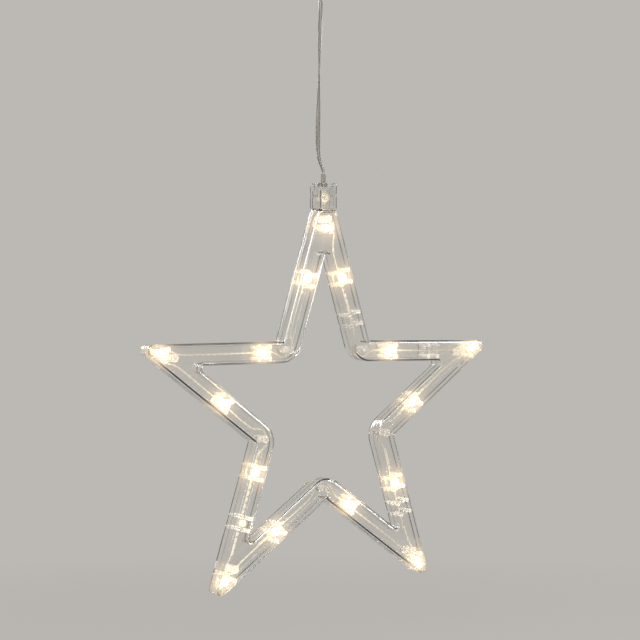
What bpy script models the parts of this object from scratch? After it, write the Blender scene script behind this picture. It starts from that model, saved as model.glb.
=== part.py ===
import math

import bpy
import bmesh
from mathutils import Matrix, Vector

# LED Christmas star: a clear tube bent into a five-pointed star, split front and rear, with sixteen
# lamps on a wire inside it, hung by its own flat lead. X is right, Y is depth (the star's front faces
# -Y) and Z is up. The origin is the point inside the hanging loop that rests on a nail or hook.

# Star outline, on the centre line of the tube
TIP_RADIUS = 0.119
TOP_TIP_RADIUS = 0.125
BEND_RADIUS = 0.0464
CORNERS = 10

# Tube section
TUBE_WIDTH = 0.0132
TUBE_DEPTH = 0.0138
WALL = 0.0015
EDGE_ROUND = 0.003
TIP_ROUND = 0.0036
NOTCH_ROUND = 0.0019
BEND_ROUND = 0.001
SHOULDER_ROUND = 0.002
SHARPEST = 0.0002
HALF_WIDTH = TUBE_WIDTH / 2
HALF_DEPTH = TUBE_DEPTH / 2

# Fits
GAP = 0.0003
OVERRUN = 0.001
LIP_HEIGHT = 0.0012
LIP_THICKNESS = (WALL - GAP) / 2

# Facets
TIP_POINTS = 6
BEND_POINTS = 5
EDGE_POINTS = 3
NOTCH_POINTS = 5
POST_SIDES = 10
PEG_SIDES = 8
HOLDER_SIDES = 8
LED_SIDES = 8
TUBE_FINENESS = 1
ROUTE_POINTS = 14
SHARPEST_TURN = math.radians(26)
SHORTEST_STEP_SHARE = 0.08
ROUND_SHARE = 0.5

# Neck on top of the star, and the cap over it
SHOULDER_HEIGHT = TOP_TIP_RADIUS + 0.0012
CAP_HEIGHT = 0.0156
CAP_TOP = 0.0024
CAP_WALL = 0.0012
CAP_ROUND = 0.0025
CAP_EDGE = 0.0006
NECK_WALL = 0.0012
NECK_TOP = 0.0016
NECK_ROUND = 0.0015
NUB_SIZE = 0.0018
NUB_RISE = 0.0009
NUB_HEIGHT = 0.0072
CAP_HALF_WIDTH = HALF_WIDTH
CAP_HALF_DEPTH = HALF_DEPTH
NECK_HALF_WIDTH = CAP_HALF_WIDTH - CAP_WALL - GAP
NECK_HALF_DEPTH = CAP_HALF_DEPTH - CAP_WALL - GAP
CAP_BASE = SHOULDER_HEIGHT + GAP
CAP_CROWN = CAP_BASE + CAP_HEIGHT
NECK_CROWN = CAP_CROWN - CAP_TOP - GAP

# Posts that key the halves together
POST_RADIUS = 0.0023
PIN_RADIUS = 0.001
PIN_LENGTH = 0.0028
TOP_POST_DROP = 0.005
TIP_POST_CLEARANCE = 0.0021

# Lamp holders and lamps
HOLDER_RADIUS = 0.0017
HOLDER_LENGTH = 0.0096
CUP_RADIUS = 0.0024
CUP_FLOOR = 0.0007
LED_RADIUS = 0.0015
LED_FLANGE = 0.0019
LED_FLANGE_HEIGHT = 0.0004
LED_CLEARANCE = 0.0005
LED_STEM = 0.0004
LED_HEIGHT = HALF_DEPTH - WALL - LED_CLEARANCE
CUP_HEIGHT = LED_HEIGHT - LED_RADIUS - LED_FLANGE_HEIGHT - LED_STEM

# Seats: two ribs a seat, in each half; a rib is a notched web between two pegs, or spans a narrow tip
RIB_SPACING = 0.0074
RIB_THICKNESS = 0.0009
RIB_CORNER = 0.0015
RIB_RELIEF = WALL / 2 + 2 * GAP
SEAT_NOTCH = HOLDER_RADIUS + GAP
PEG_SHARE = 0.9
RIB_LEG = 0.0002
TOP_RIB_HALF = SEAT_NOTCH + RIB_RELIEF + RIB_LEG
TOP_SEAT_DROP = TOP_POST_DROP + POST_RADIUS + CUP_RADIUS + 3 * GAP

# Wire from lamp to lamp
WIRE_RADIUS = 0.0006
WIRE_STEP = 0.012
WIRE_LEAVE = 0.0012
WIRE_DIP = 0.0029
WIRE_PAIR_OFFSET = 0.0009
TIP_JOIN = 0.012
BEND_JOIN_SHARE = 0.12
BEND_TURN = math.radians(24)
TIP_TURN_SHARES = [(0.62, 0.80), (0.0, 1.0), (-1.0, 0.97)]

# Lead, sleeve and knots
LEAD_WIDTH = 0.0028
LEAD_THICKNESS = 0.0014
LEAD_STEP = 0.006
SLEEVE_RADIUS = 0.0017
SLEEVE_TIP_RADIUS = 0.0015
SLEEVE_RISE = 0.006
KNOT_STRAND = 0.00065
KNOT_ROOM = 0.00035
KNOT_WIDTH = 2 * (NECK_HALF_WIDTH - NECK_WALL - KNOT_ROOM)
KNOT_HEIGHT = 0.0058
KNOT_DEPTH = 0.0044
KNOT_BALL = KNOT_WIDTH / 2 + KNOT_STRAND
KNOT_POINTS = 30
# Where the strand goes in below the knot, as shares of its sideways, depth and height units
KNOT_ENTRY_SHARES = [(1.3, 0.11, -3.2), (2.7, 1.0, -1.0)]
LOOP_LEG = 0.00095

# The lead's route above the sleeve, as (right, up) from the sleeve's top, chosen by eye
LEAD_ROUTE = [
    (0.0, 0.0),
    (-0.0002, 0.0018),
    (-0.0014, 0.0048),
    (-0.0031, 0.0088),
    (-0.0040, 0.0150),
    (-0.0042, 0.0300),
    (-0.0036, 0.0580),
    (-0.0029, 0.0900),
    (-0.0025, 0.1080),
    (-0.0025, 0.1134),
]

# One side of the hanging loop, as (right, up) from the top of the knot below it, chosen by eye
LOOP_ROUTE = [
    (LOOP_LEG, 0.0004),
    (0.0012, 0.0036),
    (0.0040, 0.0098),
    (0.0065, 0.0163),
    (0.0056, 0.0220),
    (0.0028, 0.0255),
    (0.0, 0.0265),
]

# The feed wire from the knot to the first lamp, as (right, up) from the corner of the top arm, in
# shares of half the tube's width, by eye
FEED_SHARES = [
    (-0.18, 0.15),
    (-0.545, -0.333),
    (-0.795, -0.667),
    (-0.98, -1.1),
    (-1.06, -1.455),
]

# Lamps along each bar, clockwise from the top, as shares of the bar's length
LAMP_SHARES = [
    (0.47,), (0.255,), (0.65,), (0.40,), (0.743,),
    (0.52,), (0.38, 0.746), (0.436,), (0.777,), (0.513,),
]
# Seats without a lamp
SPARE_SEAT_SHARES = [(0.77,), (0.647,), (), (0.60,), (), (), (), (), (), ()]

# Heights that follow: the star's centre is the origin of the star's own pieces
SLEEVE_TOP = CAP_CROWN + SLEEVE_RISE
KNOT_CENTRE_RIGHT = LEAD_ROUTE[-1][0]
KNOT_CENTRE_UP = SLEEVE_TOP + LEAD_ROUTE[-1][1] + KNOT_BALL + GAP
HELD_UP = KNOT_CENTRE_UP + KNOT_BALL + LOOP_ROUTE[-1][1] - LEAD_THICKNESS / 2
STAR_CENTRE = Vector((-KNOT_CENTRE_RIGHT, 0.0, -HELD_UP))

UP = Vector((0.0, 1.0))


def clear_scene():
    for item in list(bpy.data.objects):
        bpy.data.objects.remove(item, do_unlink=True)


def collection(name):
    group = bpy.data.collections.new(name)
    bpy.context.scene.collection.children.link(group)
    return group


def material(name, colour, roughness, metallic=0.0, clear=0.0):
    made = bpy.data.materials.new(name)
    made.use_nodes = True
    shader = made.node_tree.nodes["Principled BSDF"]
    shader.inputs["Base Color"].default_value = (*colour, 1.0)
    shader.inputs["Roughness"].default_value = roughness
    shader.inputs["Metallic"].default_value = metallic
    shader.inputs["Transmission Weight"].default_value = clear
    made.diffuse_color = (*colour, 1.0)
    return made


def add_object(name, mesh, group, parent=None, place=None, paint=None):
    item = bpy.data.objects.new(name, mesh)
    group.objects.link(item)
    if parent is not None:
        item.parent = parent
    if place is not None:
        item.matrix_local = place
    if paint is not None and not mesh.materials:
        mesh.materials.append(paint)
    return item


def guide(name, mesh, group, parent):
    item = add_object(name, mesh, group, parent)
    item.hide_render = True
    item.display_type = "WIRE"
    return item


def shade(mesh):
    mesh.shade_smooth()
    mesh.set_sharp_from_angle(angle=math.radians(38))


def finish_mesh(name, bm):
    bmesh.ops.remove_doubles(bm, verts=bm.verts, dist=SHARPEST / 20)
    bmesh.ops.dissolve_degenerate(bm, edges=bm.edges, dist=SHARPEST / 20)
    bmesh.ops.recalc_face_normals(bm, faces=bm.faces)
    mesh = bpy.data.meshes.new(name)
    bm.to_mesh(mesh)
    bm.free()
    shade(mesh)
    return mesh


def in_depth(point, depth):
    """A point of the star's plan, (right, up), at a depth behind the star's middle plane."""
    return Vector((point[0], depth, point[1]))


# The star's plan


def corner_point(index):
    """Corner of the centre line: even ones are tips, odd ones bends, clockwise from the top."""
    index %= CORNERS
    if index % 2:
        radius = BEND_RADIUS
    elif index == 0:
        radius = TOP_TIP_RADIUS
    else:
        radius = TIP_RADIUS
    angle = index * math.tau / CORNERS
    return Vector((math.sin(angle), math.cos(angle))) * radius


def bar_direction(index):
    return (corner_point(index + 1) - corner_point(index)).normalized()


def bar_length(index):
    return (corner_point(index + 1) - corner_point(index)).length


def outward(direction):
    return Vector((-direction.y, direction.x))


def bar_normal(index):
    return outward(bar_direction(index))


def mitre(before, after):
    """How far a corner moves when both its lines move one unit outward."""
    return (before + after) / (1 + before.dot(after))


def turned_vector(vector, angle):
    return Matrix.Rotation(angle, 2) @ vector


def fillet(corner, offset, before, after, radius, count):
    """Arc between the two lines offset outside a corner. A negative radius bends round the outer side."""
    centre = corner + mitre(before, after) * (offset - radius)
    turn = math.atan2(before.x * after.y - before.y * after.x, before.dot(after))
    return [centre + turned_vector(before, turn * step / (count - 1)) * radius for step in range(count)]


def shoulder_points(offset):
    """The top arm ends flat under the cap: one small fillet at each side of the flat."""
    base_height = SHOULDER_HEIGHT - HALF_WIDTH
    radius = max(SHOULDER_ROUND - (HALF_WIDTH - offset), SHARPEST)
    points = []
    for index, before, after in ((-1, bar_normal(-1), UP), (0, UP, bar_normal(0))):
        direction = bar_direction(index)
        top = corner_point(0)
        corner = top + direction * ((base_height - top.y) / direction.y)
        points += fillet(corner, offset, before, after, radius, TIP_POINTS // 2)
    return points


def ring(offset):
    """Outline that runs offset outside the centre line, or inside it where offset is negative."""
    points = []
    for index in range(CORNERS):
        before = bar_normal(index - 1)
        after = bar_normal(index)
        corner = corner_point(index)
        if index % 2:
            radius = -(BEND_ROUND + HALF_WIDTH - offset)
            points += fillet(corner, offset, before, after, radius, BEND_POINTS)
        elif offset < 0:
            radius = NOTCH_ROUND + HALF_WIDTH + offset
            points += fillet(corner, offset, before, after, radius, TIP_POINTS)
        elif index == 0:
            points += shoulder_points(offset)
        else:
            radius = max(TIP_ROUND - (HALF_WIDTH - offset), SHARPEST)
            points += fillet(corner, offset, before, after, radius, TIP_POINTS)
    return points


def quarter(radius, count):
    """Points of a quarter circle, as (across, deep) from its centre, from the side to the face."""
    turns = [math.tau / 4 * step / (count - 1) for step in range(count)]
    return [(math.cos(turn) * radius, math.sin(turn) * radius) for turn in turns]


def shell_section(tongue):
    """Closed section of one half, as (offset, distance from the middle plane), with a lip or a tongue."""
    seam = GAP / 2
    inner_round = EDGE_ROUND - WALL
    side = HALF_WIDTH - EDGE_ROUND
    face = HALF_DEPTH - EDGE_ROUND
    outer = [(HALF_WIDTH, seam)]
    outer += [(side + across, face + deep) for across, deep in quarter(EDGE_ROUND, EDGE_POINTS)]
    inner = [(side + across, face + deep) for across, deep in quarter(inner_round, EDGE_POINTS - 1)]
    if tongue:
        step = HALF_WIDTH - WALL + LIP_THICKNESS
        rim = [(step, seam), (step, seam - LIP_HEIGHT), (HALF_WIDTH - WALL, seam - LIP_HEIGHT)]
    else:
        step = HALF_WIDTH - LIP_THICKNESS
        rim = [(step, seam), (step, seam + LIP_HEIGHT), (HALF_WIDTH - WALL, seam + LIP_HEIGHT)]
    outside = outer + [(-offset, deep) for offset, deep in reversed(outer)]
    inside = rim + inner
    return outside + [(-offset, deep) for offset, deep in inside] + list(reversed(inside))


def shell_body(name, side, tongue):
    """The star-shaped channel: the section's points, each carried round the star as a ring."""
    bm = bmesh.new()
    loops = []
    for offset, deep in shell_section(tongue):
        loops.append([bm.verts.new(in_depth(point, side * deep)) for point in ring(offset)])
    for first, second in zip(loops, loops[1:] + loops[:1]):
        for here in range(len(first)):
            there = here - 1
            bm.faces.new((first[there], first[here], second[here], second[there]))
    return finish_mesh(name, bm)


# Places in the star where something is seated


def seat_frame(point, direction):
    """Local X along the wire, local Y in depth and local Z outward, at a point of the plan."""
    normal = outward(direction)
    columns = (in_depth(direction, 0.0), Vector((0.0, 1.0, 0.0)), in_depth(normal, 0.0))
    frame = Matrix.Identity(4)
    for column, axis in enumerate((*columns, in_depth(point, 0.0))):
        for row in range(3):
            frame[row][column] = axis[row]
    return frame


def bar_frame(index, share):
    direction = bar_direction(index)
    return seat_frame(corner_point(index) + direction * bar_length(index) * share, direction)


def arm_frame(index, along):
    """On the axis of an arm, along further out than the corner of its centre line."""
    axis = corner_point(index).normalized()
    return seat_frame(corner_point(index) + axis * along, axis)


def half_angle(index):
    """Half the angle between the two bars of an arm."""
    axis = corner_point(index).normalized()
    return math.acos(-axis.dot(bar_direction(index)))


def arm_half_width(index, along, inset):
    """Half the arm's width at a point on its axis, to a surface inset from the outside."""
    angle = half_angle(index)
    return ((HALF_WIDTH - inset) / math.sin(angle) - along) * math.tan(angle)


def tip_seat_out(index):
    """How far out a tip's seat lies: its outer rib still has a leg at each side of the notch."""
    angle = half_angle(index)
    widest = (HALF_WIDTH - WALL / 2) / math.sin(angle)
    outer_rib = widest - (SEAT_NOTCH + RIB_RELIEF + RIB_LEG) / math.tan(angle)
    return outer_rib - RIB_SPACING / 2


def post_out(index):
    """Where the post of an arm stands on its axis, behind the holder that sits in the arm."""
    if index == 0:
        return -TOP_POST_DROP
    return tip_seat_out(index) - HOLDER_LENGTH / 2 - TIP_POST_CLEARANCE - POST_RADIUS


def bend_centre(index):
    """Centre of the arcs at a bend."""
    corner = corner_point(index)
    return corner + mitre(bar_normal(index - 1), bar_normal(index)) * (HALF_WIDTH + BEND_ROUND)


def post_points():
    points = []
    for index in range(CORNERS):
        inward = -corner_point(index).normalized()
        if index % 2:
            points.append(bend_centre(index) + inward * (HALF_WIDTH + BEND_ROUND))
        else:
            points.append(corner_point(index) - inward * post_out(index))
    return points


def lamp_chain():
    """Frames of the sixteen lamps in the order of the wire, clockwise from the top, with their kind."""
    chain = [("top", 0, seat_frame(corner_point(0) - UP * TOP_SEAT_DROP, Vector((1.0, 0.0))))]
    for index in range(CORNERS):
        if index and index % 2 == 0:
            chain.append(("tip", index, arm_frame(index, tip_seat_out(index))))
        for share in LAMP_SHARES[index]:
            chain.append(("bar", index, bar_frame(index, share)))
    return chain


def seat_list():
    """The lamps' seats and the spare ones, as lamp_chain gives them."""
    seats = lamp_chain()
    for index, shares in enumerate(SPARE_SEAT_SHARES):
        for share in shares:
            seats.append(("spare", index, bar_frame(index, share)))
    return seats


def peg_radius(reach):
    """Radius of a peg that stands between the notch and the lip, which is this far out."""
    return (reach - SEAT_NOTCH) * PEG_SHARE / 2


def pegged_ribs():
    """Ribs that stand between two pegs: frame, place along it, how far out the pegs are, peg radius."""
    reach = HALF_WIDTH - WALL - GAP
    radius = peg_radius(reach)
    ribs = []
    for kind, index, frame in seat_list():
        if kind == "tip":
            along = tip_seat_out(index) - RIB_SPACING / 2
            slim = peg_radius(arm_half_width(index, along, WALL + GAP))
            ribs.append((frame, -RIB_SPACING / 2, arm_half_width(index, along, WALL + GAP + slim), slim))
        elif kind != "top":
            ribs += [(frame, shift, reach - radius, radius) for shift in (-RIB_SPACING / 2, RIB_SPACING / 2)]
    return ribs


# What the halves carry inside


def seat_notch(top):
    """Round notch for a holder, as (depth, outward), ending at the depth of the rib's top."""
    turns = [math.tau / 2 * step / (NOTCH_POINTS - 1) for step in range(NOTCH_POINTS)]
    return [(max(math.sin(turn) * SEAT_NOTCH, top), math.cos(turn) * SEAT_NOTCH) for turn in turns]


def web_outline(out):
    """Rib between two pegs, from peg centre to peg centre."""
    floor = HALF_DEPTH - WALL / 2
    return [(GAP, -out), (floor, -out), (floor, out), (GAP, out)] + seat_notch(GAP)


def rib_outline(half_length):
    """Rib from wall to wall: notched at the middle, clear of the lip at its ends."""
    floor = HALF_DEPTH - WALL / 2
    clear_end = half_length - RIB_RELIEF
    return [
        (GAP / 2, -clear_end),
        (LIP_HEIGHT + GAP, -clear_end),
        (LIP_HEIGHT + GAP, -half_length),
        (floor - RIB_CORNER, -half_length),
        (floor, RIB_CORNER - half_length),
        (floor, half_length - RIB_CORNER),
        (floor - RIB_CORNER, half_length),
        (LIP_HEIGHT + GAP, half_length),
        (LIP_HEIGHT + GAP, clear_end),
        (GAP / 2, clear_end),
    ] + seat_notch(GAP / 2)


def add_rib(bm, frame, shift, outline, side):
    verts = []
    for deep, across in outline:
        verts.append(bm.verts.new(frame @ Vector((shift - RIB_THICKNESS / 2, side * deep, across))))
    face = bm.faces.new(verts)
    grown = bmesh.ops.extrude_face_region(bm, geom=[face])
    moved = [item for item in grown["geom"] if isinstance(item, bmesh.types.BMVert)]
    bmesh.ops.translate(bm, verts=moved, vec=frame.to_3x3() @ Vector((RIB_THICKNESS, 0.0, 0.0)))


def add_cylinder(bm, start, end, radius, sides):
    """A cylinder between two points."""
    axis = end - start
    turn = axis.to_track_quat("Z", "Y").to_matrix().to_4x4()
    place = Matrix.Translation((start + end) / 2) @ turn
    bmesh.ops.create_cone(
        bm, cap_ends=True, segments=sides, radius1=radius, radius2=radius, depth=axis.length, matrix=place
    )


def add_box(bm, low, high):
    low = Vector(low)
    high = Vector(high)
    size = high - low
    place = Matrix.Translation((low + high) / 2) @ Matrix.Diagonal((*size, 1.0))
    bmesh.ops.create_cube(bm, size=1.0, matrix=place)


def closed_mesh(name, bm):
    bmesh.ops.recalc_face_normals(bm, faces=bm.faces)
    mesh = bpy.data.meshes.new(name)
    bm.to_mesh(mesh)
    bm.free()
    return mesh


def inner_fittings(name, side):
    """Ribs and posts of one half, standing on its face."""
    bm = bmesh.new()
    for frame, shift, out, radius in pegged_ribs():
        add_rib(bm, frame, shift, web_outline(out), side)
    for kind, index, frame in seat_list():
        if kind == "tip":
            reach = arm_half_width(index, tip_seat_out(index) + RIB_SPACING / 2, WALL / 2)
            add_rib(bm, frame, RIB_SPACING / 2, rib_outline(reach), side)
        elif kind == "top":
            for shift in (-RIB_SPACING / 2, RIB_SPACING / 2):
                add_rib(bm, frame, shift, rib_outline(TOP_RIB_HALF), side)
    for point in post_points():
        start = in_depth(point, side * GAP / 2)
        add_cylinder(bm, start, in_depth(point, side * (HALF_DEPTH - WALL / 2)), POST_RADIUS, POST_SIDES)
    return closed_mesh(name, bm)


def seat_pegs(name, side):
    """Pegs at both ends of each web, from the middle plane to the face."""
    bm = bmesh.new()
    for frame, shift, out, radius in pegged_ribs():
        for across in (-out, out):
            start = frame @ Vector((shift, side * GAP / 2, across))
            end = frame @ Vector((shift, side * (HALF_DEPTH - WALL / 2), across))
            add_cylinder(bm, start, end, radius, PEG_SIDES)
    return closed_mesh(name, bm)


def pins(name, side):
    """Pins of the rear posts, which reach over the middle plane into the front ones."""
    bm = bmesh.new()
    for point in post_points():
        tip = in_depth(point, -side * PIN_LENGTH)
        add_cylinder(bm, in_depth(point, side * PIN_LENGTH), tip, PIN_RADIUS, POST_SIDES)
    return closed_mesh(name, bm)


def pin_holes(name, side):
    bm = bmesh.new()
    for point in post_points():
        bottom = in_depth(point, side * (PIN_LENGTH + GAP))
        add_cylinder(bm, in_depth(point, -side * OVERRUN), bottom, PIN_RADIUS + GAP, POST_SIDES)
    return closed_mesh(name, bm)


def neck_block(name, side):
    """Half of the neck: a block with rounded long edges that stands on the shoulder of the top arm."""
    bm = bmesh.new()
    foot = SHOULDER_HEIGHT - WALL / 2
    low, high = sorted((side * GAP / 2, side * NECK_HALF_DEPTH))
    add_box(bm, (-NECK_HALF_WIDTH, low, foot), (NECK_HALF_WIDTH, high, NECK_CROWN))
    far = side * NECK_HALF_DEPTH
    edges = []
    for edge in bm.edges:
        first, second = (vert.co for vert in edge.verts)
        upright = abs(first.z - second.z) > NECK_WALL
        if upright and abs(first.y - far) < SHARPEST:
            edges.append(edge)
    bmesh.ops.bevel(bm, geom=edges, offset=NECK_ROUND, segments=2, profile=ROUND_SHARE, affect="EDGES")
    return closed_mesh(name, bm)


def neck_nubs(name, side):
    """Snap nubs on the outer sides of the neck, wedge shaped so that the cap rides over them."""
    bm = bmesh.new()
    base = SHOULDER_HEIGHT + NUB_HEIGHT
    low, high = sorted((side * NUB_SIZE / 2, side * NUB_SIZE * 3 / 2))
    for hand in (-1, 1):
        root = NECK_HALF_WIDTH - NECK_WALL / 2
        outline = [(root, base), (NECK_HALF_WIDTH + NUB_RISE, base)]
        outline += [(NECK_HALF_WIDTH + NUB_RISE, base + NUB_SIZE / 3), (root, base + NUB_SIZE)]
        face = bm.faces.new([bm.verts.new((hand * across, low, up)) for across, up in outline])
        grown = bmesh.ops.extrude_face_region(bm, geom=[face])
        moved = [item for item in grown["geom"] if isinstance(item, bmesh.types.BMVert)]
        bmesh.ops.translate(bm, verts=moved, vec=(0.0, high - low, 0.0))
    return closed_mesh(name, bm)


def neck_room(name, side):
    """Room in the neck for the knot, open down into the tube, and the slot for the lead above it."""
    bm = bmesh.new()
    half_width = NECK_HALF_WIDTH - NECK_WALL
    low, high = sorted((-side * OVERRUN, side * (NECK_HALF_DEPTH - NECK_WALL)))
    foot = SHOULDER_HEIGHT - WALL - OVERRUN
    ceiling = NECK_CROWN - NECK_TOP
    add_box(bm, (-half_width, low, foot), (half_width, high, ceiling))
    return closed_mesh(name, bm)


def lead_slot(name, side):
    bm = bmesh.new()
    half_slot = KNOT_STRAND + GAP
    low, high = sorted((-side * OVERRUN, side * half_slot))
    foot = NECK_CROWN - NECK_TOP - OVERRUN
    add_box(bm, (-half_slot, low, foot), (half_slot, high, NECK_CROWN + OVERRUN))
    return closed_mesh(name, bm)


def boolean(item, tool, operation):
    step = item.modifiers.new(tool.name, "BOOLEAN")
    step.operation = operation
    step.solver = "MANIFOLD"
    step.object = tool


def make_shell(name, side, tongue, parts, cutters, parent, paint):
    shell = add_object(name, shell_body(name, side, tongue), parts, parent, star_place(parent), paint)
    additions = [neck_block, inner_fittings, seat_pegs, neck_nubs]
    removals = [neck_room, lead_slot]
    if tongue:
        additions.append(pins)
    else:
        removals.append(pin_holes)
    for operation, builders in (("UNION", additions), ("DIFFERENCE", removals)):
        for builder in builders:
            tool_name = f"{name}_{builder.__name__}"
            tool = guide(tool_name, builder(tool_name, side), cutters, parent)
            tool.matrix_local = star_place(parent)
            boolean(shell, tool, operation)
    return shell


def make_cap(parts, cutters, parent, paint):
    """Box-shaped cap with rounded upright edges, a hole for the sleeve and a window over each nub."""
    bm = bmesh.new()
    add_box(bm, (-CAP_HALF_WIDTH, -CAP_HALF_DEPTH, CAP_BASE), (CAP_HALF_WIDTH, CAP_HALF_DEPTH, CAP_CROWN))
    round_upright_edges(bm, CAP_ROUND, 3)
    rim = [edge for edge in bm.edges if all(abs(vert.co.z - CAP_CROWN) < SHARPEST for vert in edge.verts)]
    bmesh.ops.bevel(bm, geom=rim, offset=CAP_EDGE, segments=2, profile=ROUND_SHARE, affect="EDGES")
    cap = add_object("neck_cap", closed_mesh("neck_cap", bm), parts, parent, star_place(parent), paint)

    bm = bmesh.new()
    half_width = CAP_HALF_WIDTH - CAP_WALL
    half_depth = CAP_HALF_DEPTH - CAP_WALL
    add_box(bm, (-half_width, -half_depth, CAP_BASE - OVERRUN), (half_width, half_depth, CAP_CROWN - CAP_TOP))
    round_upright_edges(bm, CAP_ROUND - CAP_WALL, 2)
    room = guide("neck_cap_room", closed_mesh("neck_cap_room", bm), cutters, parent)

    bm = bmesh.new()
    low = SHOULDER_HEIGHT + NUB_HEIGHT - GAP
    reach = CAP_HALF_WIDTH + OVERRUN
    half_window = NUB_SIZE * 3 / 2 + GAP
    add_box(bm, (-reach, -half_window, low), (reach, half_window, low + NUB_SIZE + 2 * GAP))
    windows = guide("neck_cap_windows", closed_mesh("neck_cap_windows", bm), cutters, parent)

    bm = bmesh.new()
    bottom = Vector((0.0, 0.0, CAP_CROWN - CAP_TOP - OVERRUN))
    add_cylinder(bm, bottom, Vector((0.0, 0.0, CAP_CROWN + OVERRUN)), SLEEVE_RADIUS + GAP, POST_SIDES)
    hole = guide("neck_cap_hole", closed_mesh("neck_cap_hole", bm), cutters, parent)
    for tool in (room, windows, hole):
        tool.matrix_local = star_place(parent)
        boolean(cap, tool, "DIFFERENCE")
    return cap


def round_upright_edges(bm, radius, segments):
    edges = []
    for edge in bm.edges:
        first, second = (vert.co for vert in edge.verts)
        if abs(first.z - second.z) > abs(first.x - second.x) + abs(first.y - second.y):
            edges.append(edge)
    bmesh.ops.bevel(bm, geom=edges, offset=radius, segments=segments, profile=ROUND_SHARE, affect="EDGES")


# Turned pieces


def turned_mesh(name, profile, sides):
    """Profile as (radius, height), from its top down its outer side, turned about the upright axis."""
    mesh = bpy.data.meshes.new(name + "_profile")
    mesh.from_pydata(
        [(radius, 0.0, height) for radius, height in profile],
        [(step, step + 1) for step in range(len(profile) - 1)],
        [],
    )
    item = bpy.data.objects.new(name + "_profile", mesh)
    bpy.context.scene.collection.objects.link(item)
    screw = item.modifiers.new("turn", "SCREW")
    screw.steps = sides
    screw.render_steps = sides
    screw.use_merge_vertices = True
    screw.merge_threshold = SHARPEST / 20
    return evaluated_mesh(name, item)


def evaluated_mesh(name, item):
    """The evaluated form of a helper object as a closed mesh; the helper is removed."""
    bpy.context.view_layer.update()
    graph = bpy.context.evaluated_depsgraph_get()
    mesh = bpy.data.meshes.new_from_object(item.evaluated_get(graph))
    mesh.transform(item.matrix_world)
    bpy.data.objects.remove(item, do_unlink=True)
    bm = bmesh.new()
    bm.from_mesh(mesh)
    bpy.data.meshes.remove(mesh)
    return finish_mesh(name, bm)


def led_mesh():
    """Lamp as one turned body standing on +Z: flange, straight side and dome."""
    base = CUP_FLOOR + GAP
    dome_foot = LED_HEIGHT - LED_RADIUS
    turns = [math.tau / 4 * step / 3 for step in range(4)]
    profile = [(math.sin(turn) * LED_RADIUS, dome_foot + math.cos(turn) * LED_RADIUS) for turn in turns]
    profile += [(LED_RADIUS, CUP_HEIGHT + GAP), (LED_FLANGE, CUP_HEIGHT + GAP)]
    profile = [point for point in profile if point[1] >= CUP_HEIGHT + GAP]
    top = CUP_HEIGHT + GAP + LED_FLANGE_HEIGHT
    profile = [point for point in profile if point[1] > top]
    profile += [(LED_RADIUS, top), (LED_FLANGE, top), (LED_FLANGE, CUP_HEIGHT + GAP)]
    profile += [(LED_RADIUS, CUP_HEIGHT + GAP), (LED_RADIUS, base), (0.0, base)]
    return turned_mesh("led", profile, LED_SIDES)


def holder_mesh(cutters):
    """Holder: a barrel along local X with a cup on its front side, bored for the lamp."""
    bm = bmesh.new()
    half = Vector((HOLDER_LENGTH / 2, 0.0, 0.0))
    add_cylinder(bm, -half, half, HOLDER_RADIUS, HOLDER_SIDES)
    barrel = bpy.data.objects.new("holder_barrel", closed_mesh("holder_barrel", bm))
    cutters.objects.link(barrel)
    bm = bmesh.new()
    add_cylinder(bm, Vector((0.0, 0.0, 0.0)), Vector((0.0, -CUP_HEIGHT, 0.0)), CUP_RADIUS, HOLDER_SIDES)
    cup = guide("holder_cup", closed_mesh("holder_cup", bm), cutters, None)
    bm = bmesh.new()
    start = Vector((0.0, -CUP_FLOOR, 0.0))
    add_cylinder(bm, start, Vector((0.0, -CUP_HEIGHT - OVERRUN, 0.0)), LED_RADIUS + GAP, HOLDER_SIDES)
    bore = guide("holder_bore", closed_mesh("holder_bore", bm), cutters, None)
    boolean(barrel, cup, "UNION")
    boolean(barrel, bore, "DIFFERENCE")
    return evaluated_mesh("lamp_holder", barrel)


# Tubes


def between(first, second, start, end, moment):
    return first + (second - first) * ((moment - start) / (end - start))


def fine_curve(points):
    """A smooth curve through the points, whose pace follows the root of their spacing."""
    ends = [points[0] * 2 - points[1]] + points + [points[-1] * 2 - points[-2]]
    fine = [points[0]]
    for span in zip(ends, ends[1:], ends[2:], ends[3:]):
        marks = [0.0]
        for first, second in zip(span, span[1:]):
            marks.append(marks[-1] + math.sqrt((second - first).length))
        for number in range(1, ROUTE_POINTS + 1):
            moment = marks[1] + (marks[2] - marks[1]) * number / ROUTE_POINTS
            lines = [between(span[k], span[k + 1], marks[k], marks[k + 1], moment) for k in range(3)]
            bends = [between(lines[k], lines[k + 1], marks[k], marks[k + 2], moment) for k in range(2)]
            fine.append(between(bends[0], bends[1], marks[1], marks[2], moment))
    return fine


def smooth_route(points, longest):
    """The smooth curve through a route's own points, with a point at each turn and at each long run."""
    fine = fine_curve(points)
    shortest = longest * SHORTEST_STEP_SHARE
    route = [fine[0]]
    heading = fine[1] - fine[0]
    for here, following in zip(fine[1:], fine[2:]):
        gone = (here - route[-1]).length
        turned_far = heading.angle(following - here) > SHARPEST_TURN
        if gone > longest or (turned_far and gone > shortest):
            route.append(here)
            heading = following - here
    if len(route) > 1 and (fine[-1] - route[-1]).length < shortest:
        route.pop()
    return route + [fine[-1]]


def tube(name, route, radius, group, parent, paint, place, fineness=TUBE_FINENESS + 1):
    """A tube on a polyline, as a curve with a round bevel and closed ends."""
    curve = bpy.data.curves.new(name, "CURVE")
    curve.dimensions = "3D"
    curve.bevel_depth = radius
    curve.bevel_resolution = fineness
    curve.use_fill_caps = True
    spline = curve.splines.new("POLY")
    spline.points.add(len(route) - 1)
    for point, place_on_route in zip(spline.points, route):
        point.co = (*place_on_route, 1.0)
    curve.materials.append(paint)
    item = bpy.data.objects.new(name, curve)
    group.objects.link(item)
    item.parent = parent
    item.matrix_local = place
    return item


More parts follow.
